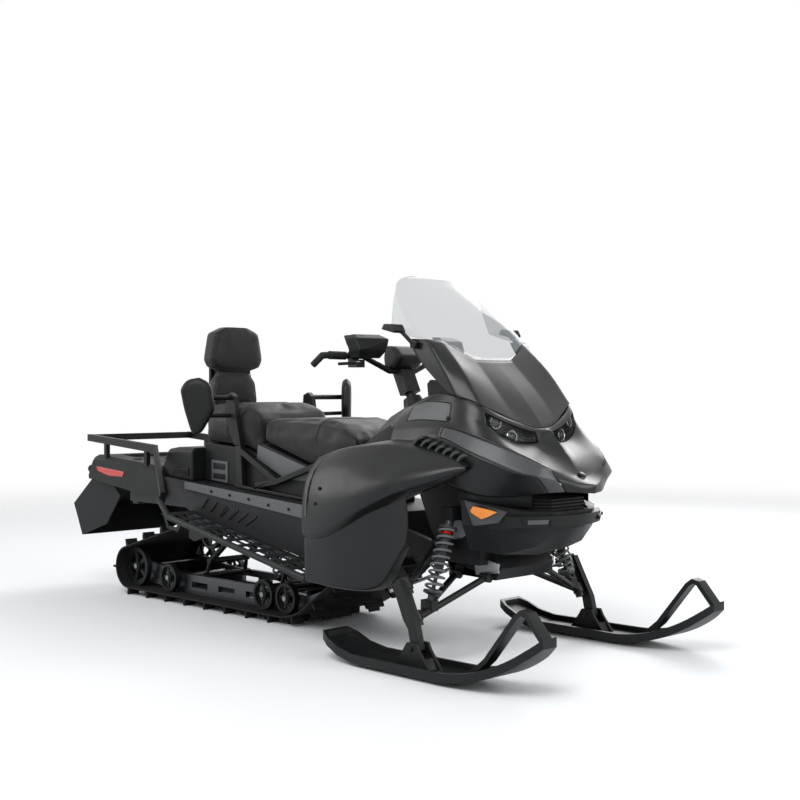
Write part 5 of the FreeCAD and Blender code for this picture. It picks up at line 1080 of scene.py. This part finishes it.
# %% Ironing and piping
IRONING = {"driver_seat": 16, "passenger_seat": 14, "back_pads": 3}
for node, cover in covers.items():
    ease(cover.data, IRONING[node])
    cover.data.shade_smooth()
    skin = bmesh.new()
    skin.from_mesh(cover.data)
    surface = BVHTree.FromBMesh(skin)
    skin.free()
    soft = cover.modifiers.new("soft outline", "SUBSURF")
    soft.levels = soft.render_levels = 1
    piping = bmesh.new()
    for line in SEAMS[node]:
        on_cover = [surface.find_nearest(point * MM)[0] / MM for point in stepped(line, WELT_MM)]
        sweep(piping, on_cover, WELT_RADIUS, sides=6)
    bmesh.ops.recalc_face_normals(piping, faces=piping.faces)
    place(node + "_piping", piping, SEAT_VINYL, "seat_vinyl", sharp=60.0)
print("piped covers", len(covers))

# %% [markdown]
# A plain pale floor, as in a studio. It fades out with distance, so that no horizon line shows
# behind the machine: from 2.4 m outwards the paint gives way to the white backdrop.

# %% Floor
FADE_FROM, FADE_TO = 2.4, 9.0
floor_mesh = bmesh.new()
bmesh.ops.create_grid(floor_mesh, x_segments=1, y_segments=1, size=30.0)
floor_data = bpy.data.meshes.new("floor")
floor_mesh.to_mesh(floor_data)
floor_mesh.free()
floor = bpy.data.objects.new("floor", floor_data)
SCENE.collection.objects.link(floor)
# Rolled matt paint: nearly even, so that the eye stays on the machine and its shadow.
floor_paint, tree, place_on_floor = new_material("matt_white_floor_paint")
cloud = add(tree, "TexNoise", Vector=place_on_floor, Scale=0.6, Detail=2.0)
tone = add(tree, "Mix", {"data_type": "RGBA"}, Factor=cloud, v6=linear("e2e5e8"), v7=linear("e8eaec"))
paint = add(tree, "BsdfPrincipled", Base_Color=tone.outputs[2], Roughness=0.8)
distance = add(tree, "VectorMath", {"operation": "LENGTH"}, v0=place_on_floor)
fade = add(tree, "MapRange", {"interpolation_type": "SMOOTHSTEP"}, Value=distance.outputs["Value"],
           From_Min=FADE_FROM, From_Max=FADE_TO)
see_through = add(tree, "BsdfTransparent")
blend = add(tree, "MixShader", v0=fade, v1=paint, v2=see_through)
add(tree, "OutputMaterial", Surface=blend)
floor_data.materials.append(floor_paint)
print("floor fades from", FADE_FROM, "to", FADE_TO, "m")

# %% [markdown]
# The backdrop is white to the camera and to reflections, and the object is lit by soft lamps and a
# dim sky, so a colour renders about as it is written. Large lamps give wide highlights, which is
# what shows the curves of black bodywork.

# %% Sky and lamps
SKY_LIGHT = 0.5
AIM = Vector((0.1, 0, 0.6))
world = bpy.data.worlds.new("sky")
world.use_nodes = True
SCENE.world = world
sky = world.node_tree
sky.nodes.clear()
rays = add(sky, "LightPath")
eyes = add(sky, "Math", {"operation": "MAXIMUM"}, v0=rays.outputs["Is Camera Ray"],
           v1=rays.outputs["Is Transmission Ray"])
seen = add(sky, "Math", {"operation": "MAXIMUM"}, v0=eyes, v1=rays.outputs["Is Glossy Ray"])
level = add(sky, "MapRange", Value=seen, To_Min=SKY_LIGHT, To_Max=1.0)
air = add(sky, "Background", Color=linear("ffffff"), Strength=level)
add(sky, "OutputWorld", Surface=air)

# name, place, width in m, power in W
LAMPS = (("key", (2.6, -4.4, 4.6), 3.2, 260), ("fill", (-4.6, -4.0, 3.0), 3.5, 120),
         ("rim", (-1.5, 4.8, 3.6), 3.0, 200), ("nose", (5.6, 1.6, 2.6), 2.5, 110))
for name, at, width, power in LAMPS:
    data = bpy.data.lights.new(name, "AREA")
    data.shape, data.size, data.energy = "SQUARE", width, power
    lamp = bpy.data.objects.new(name, data)
    lamp.location = at
    lamp.rotation_euler = (AIM - Vector(at)).to_track_quat("-Z", "Y").to_euler()
    SCENE.collection.objects.link(lamp)
SCENE.view_settings.view_transform = "Standard"
print("lamps", len(LAMPS))
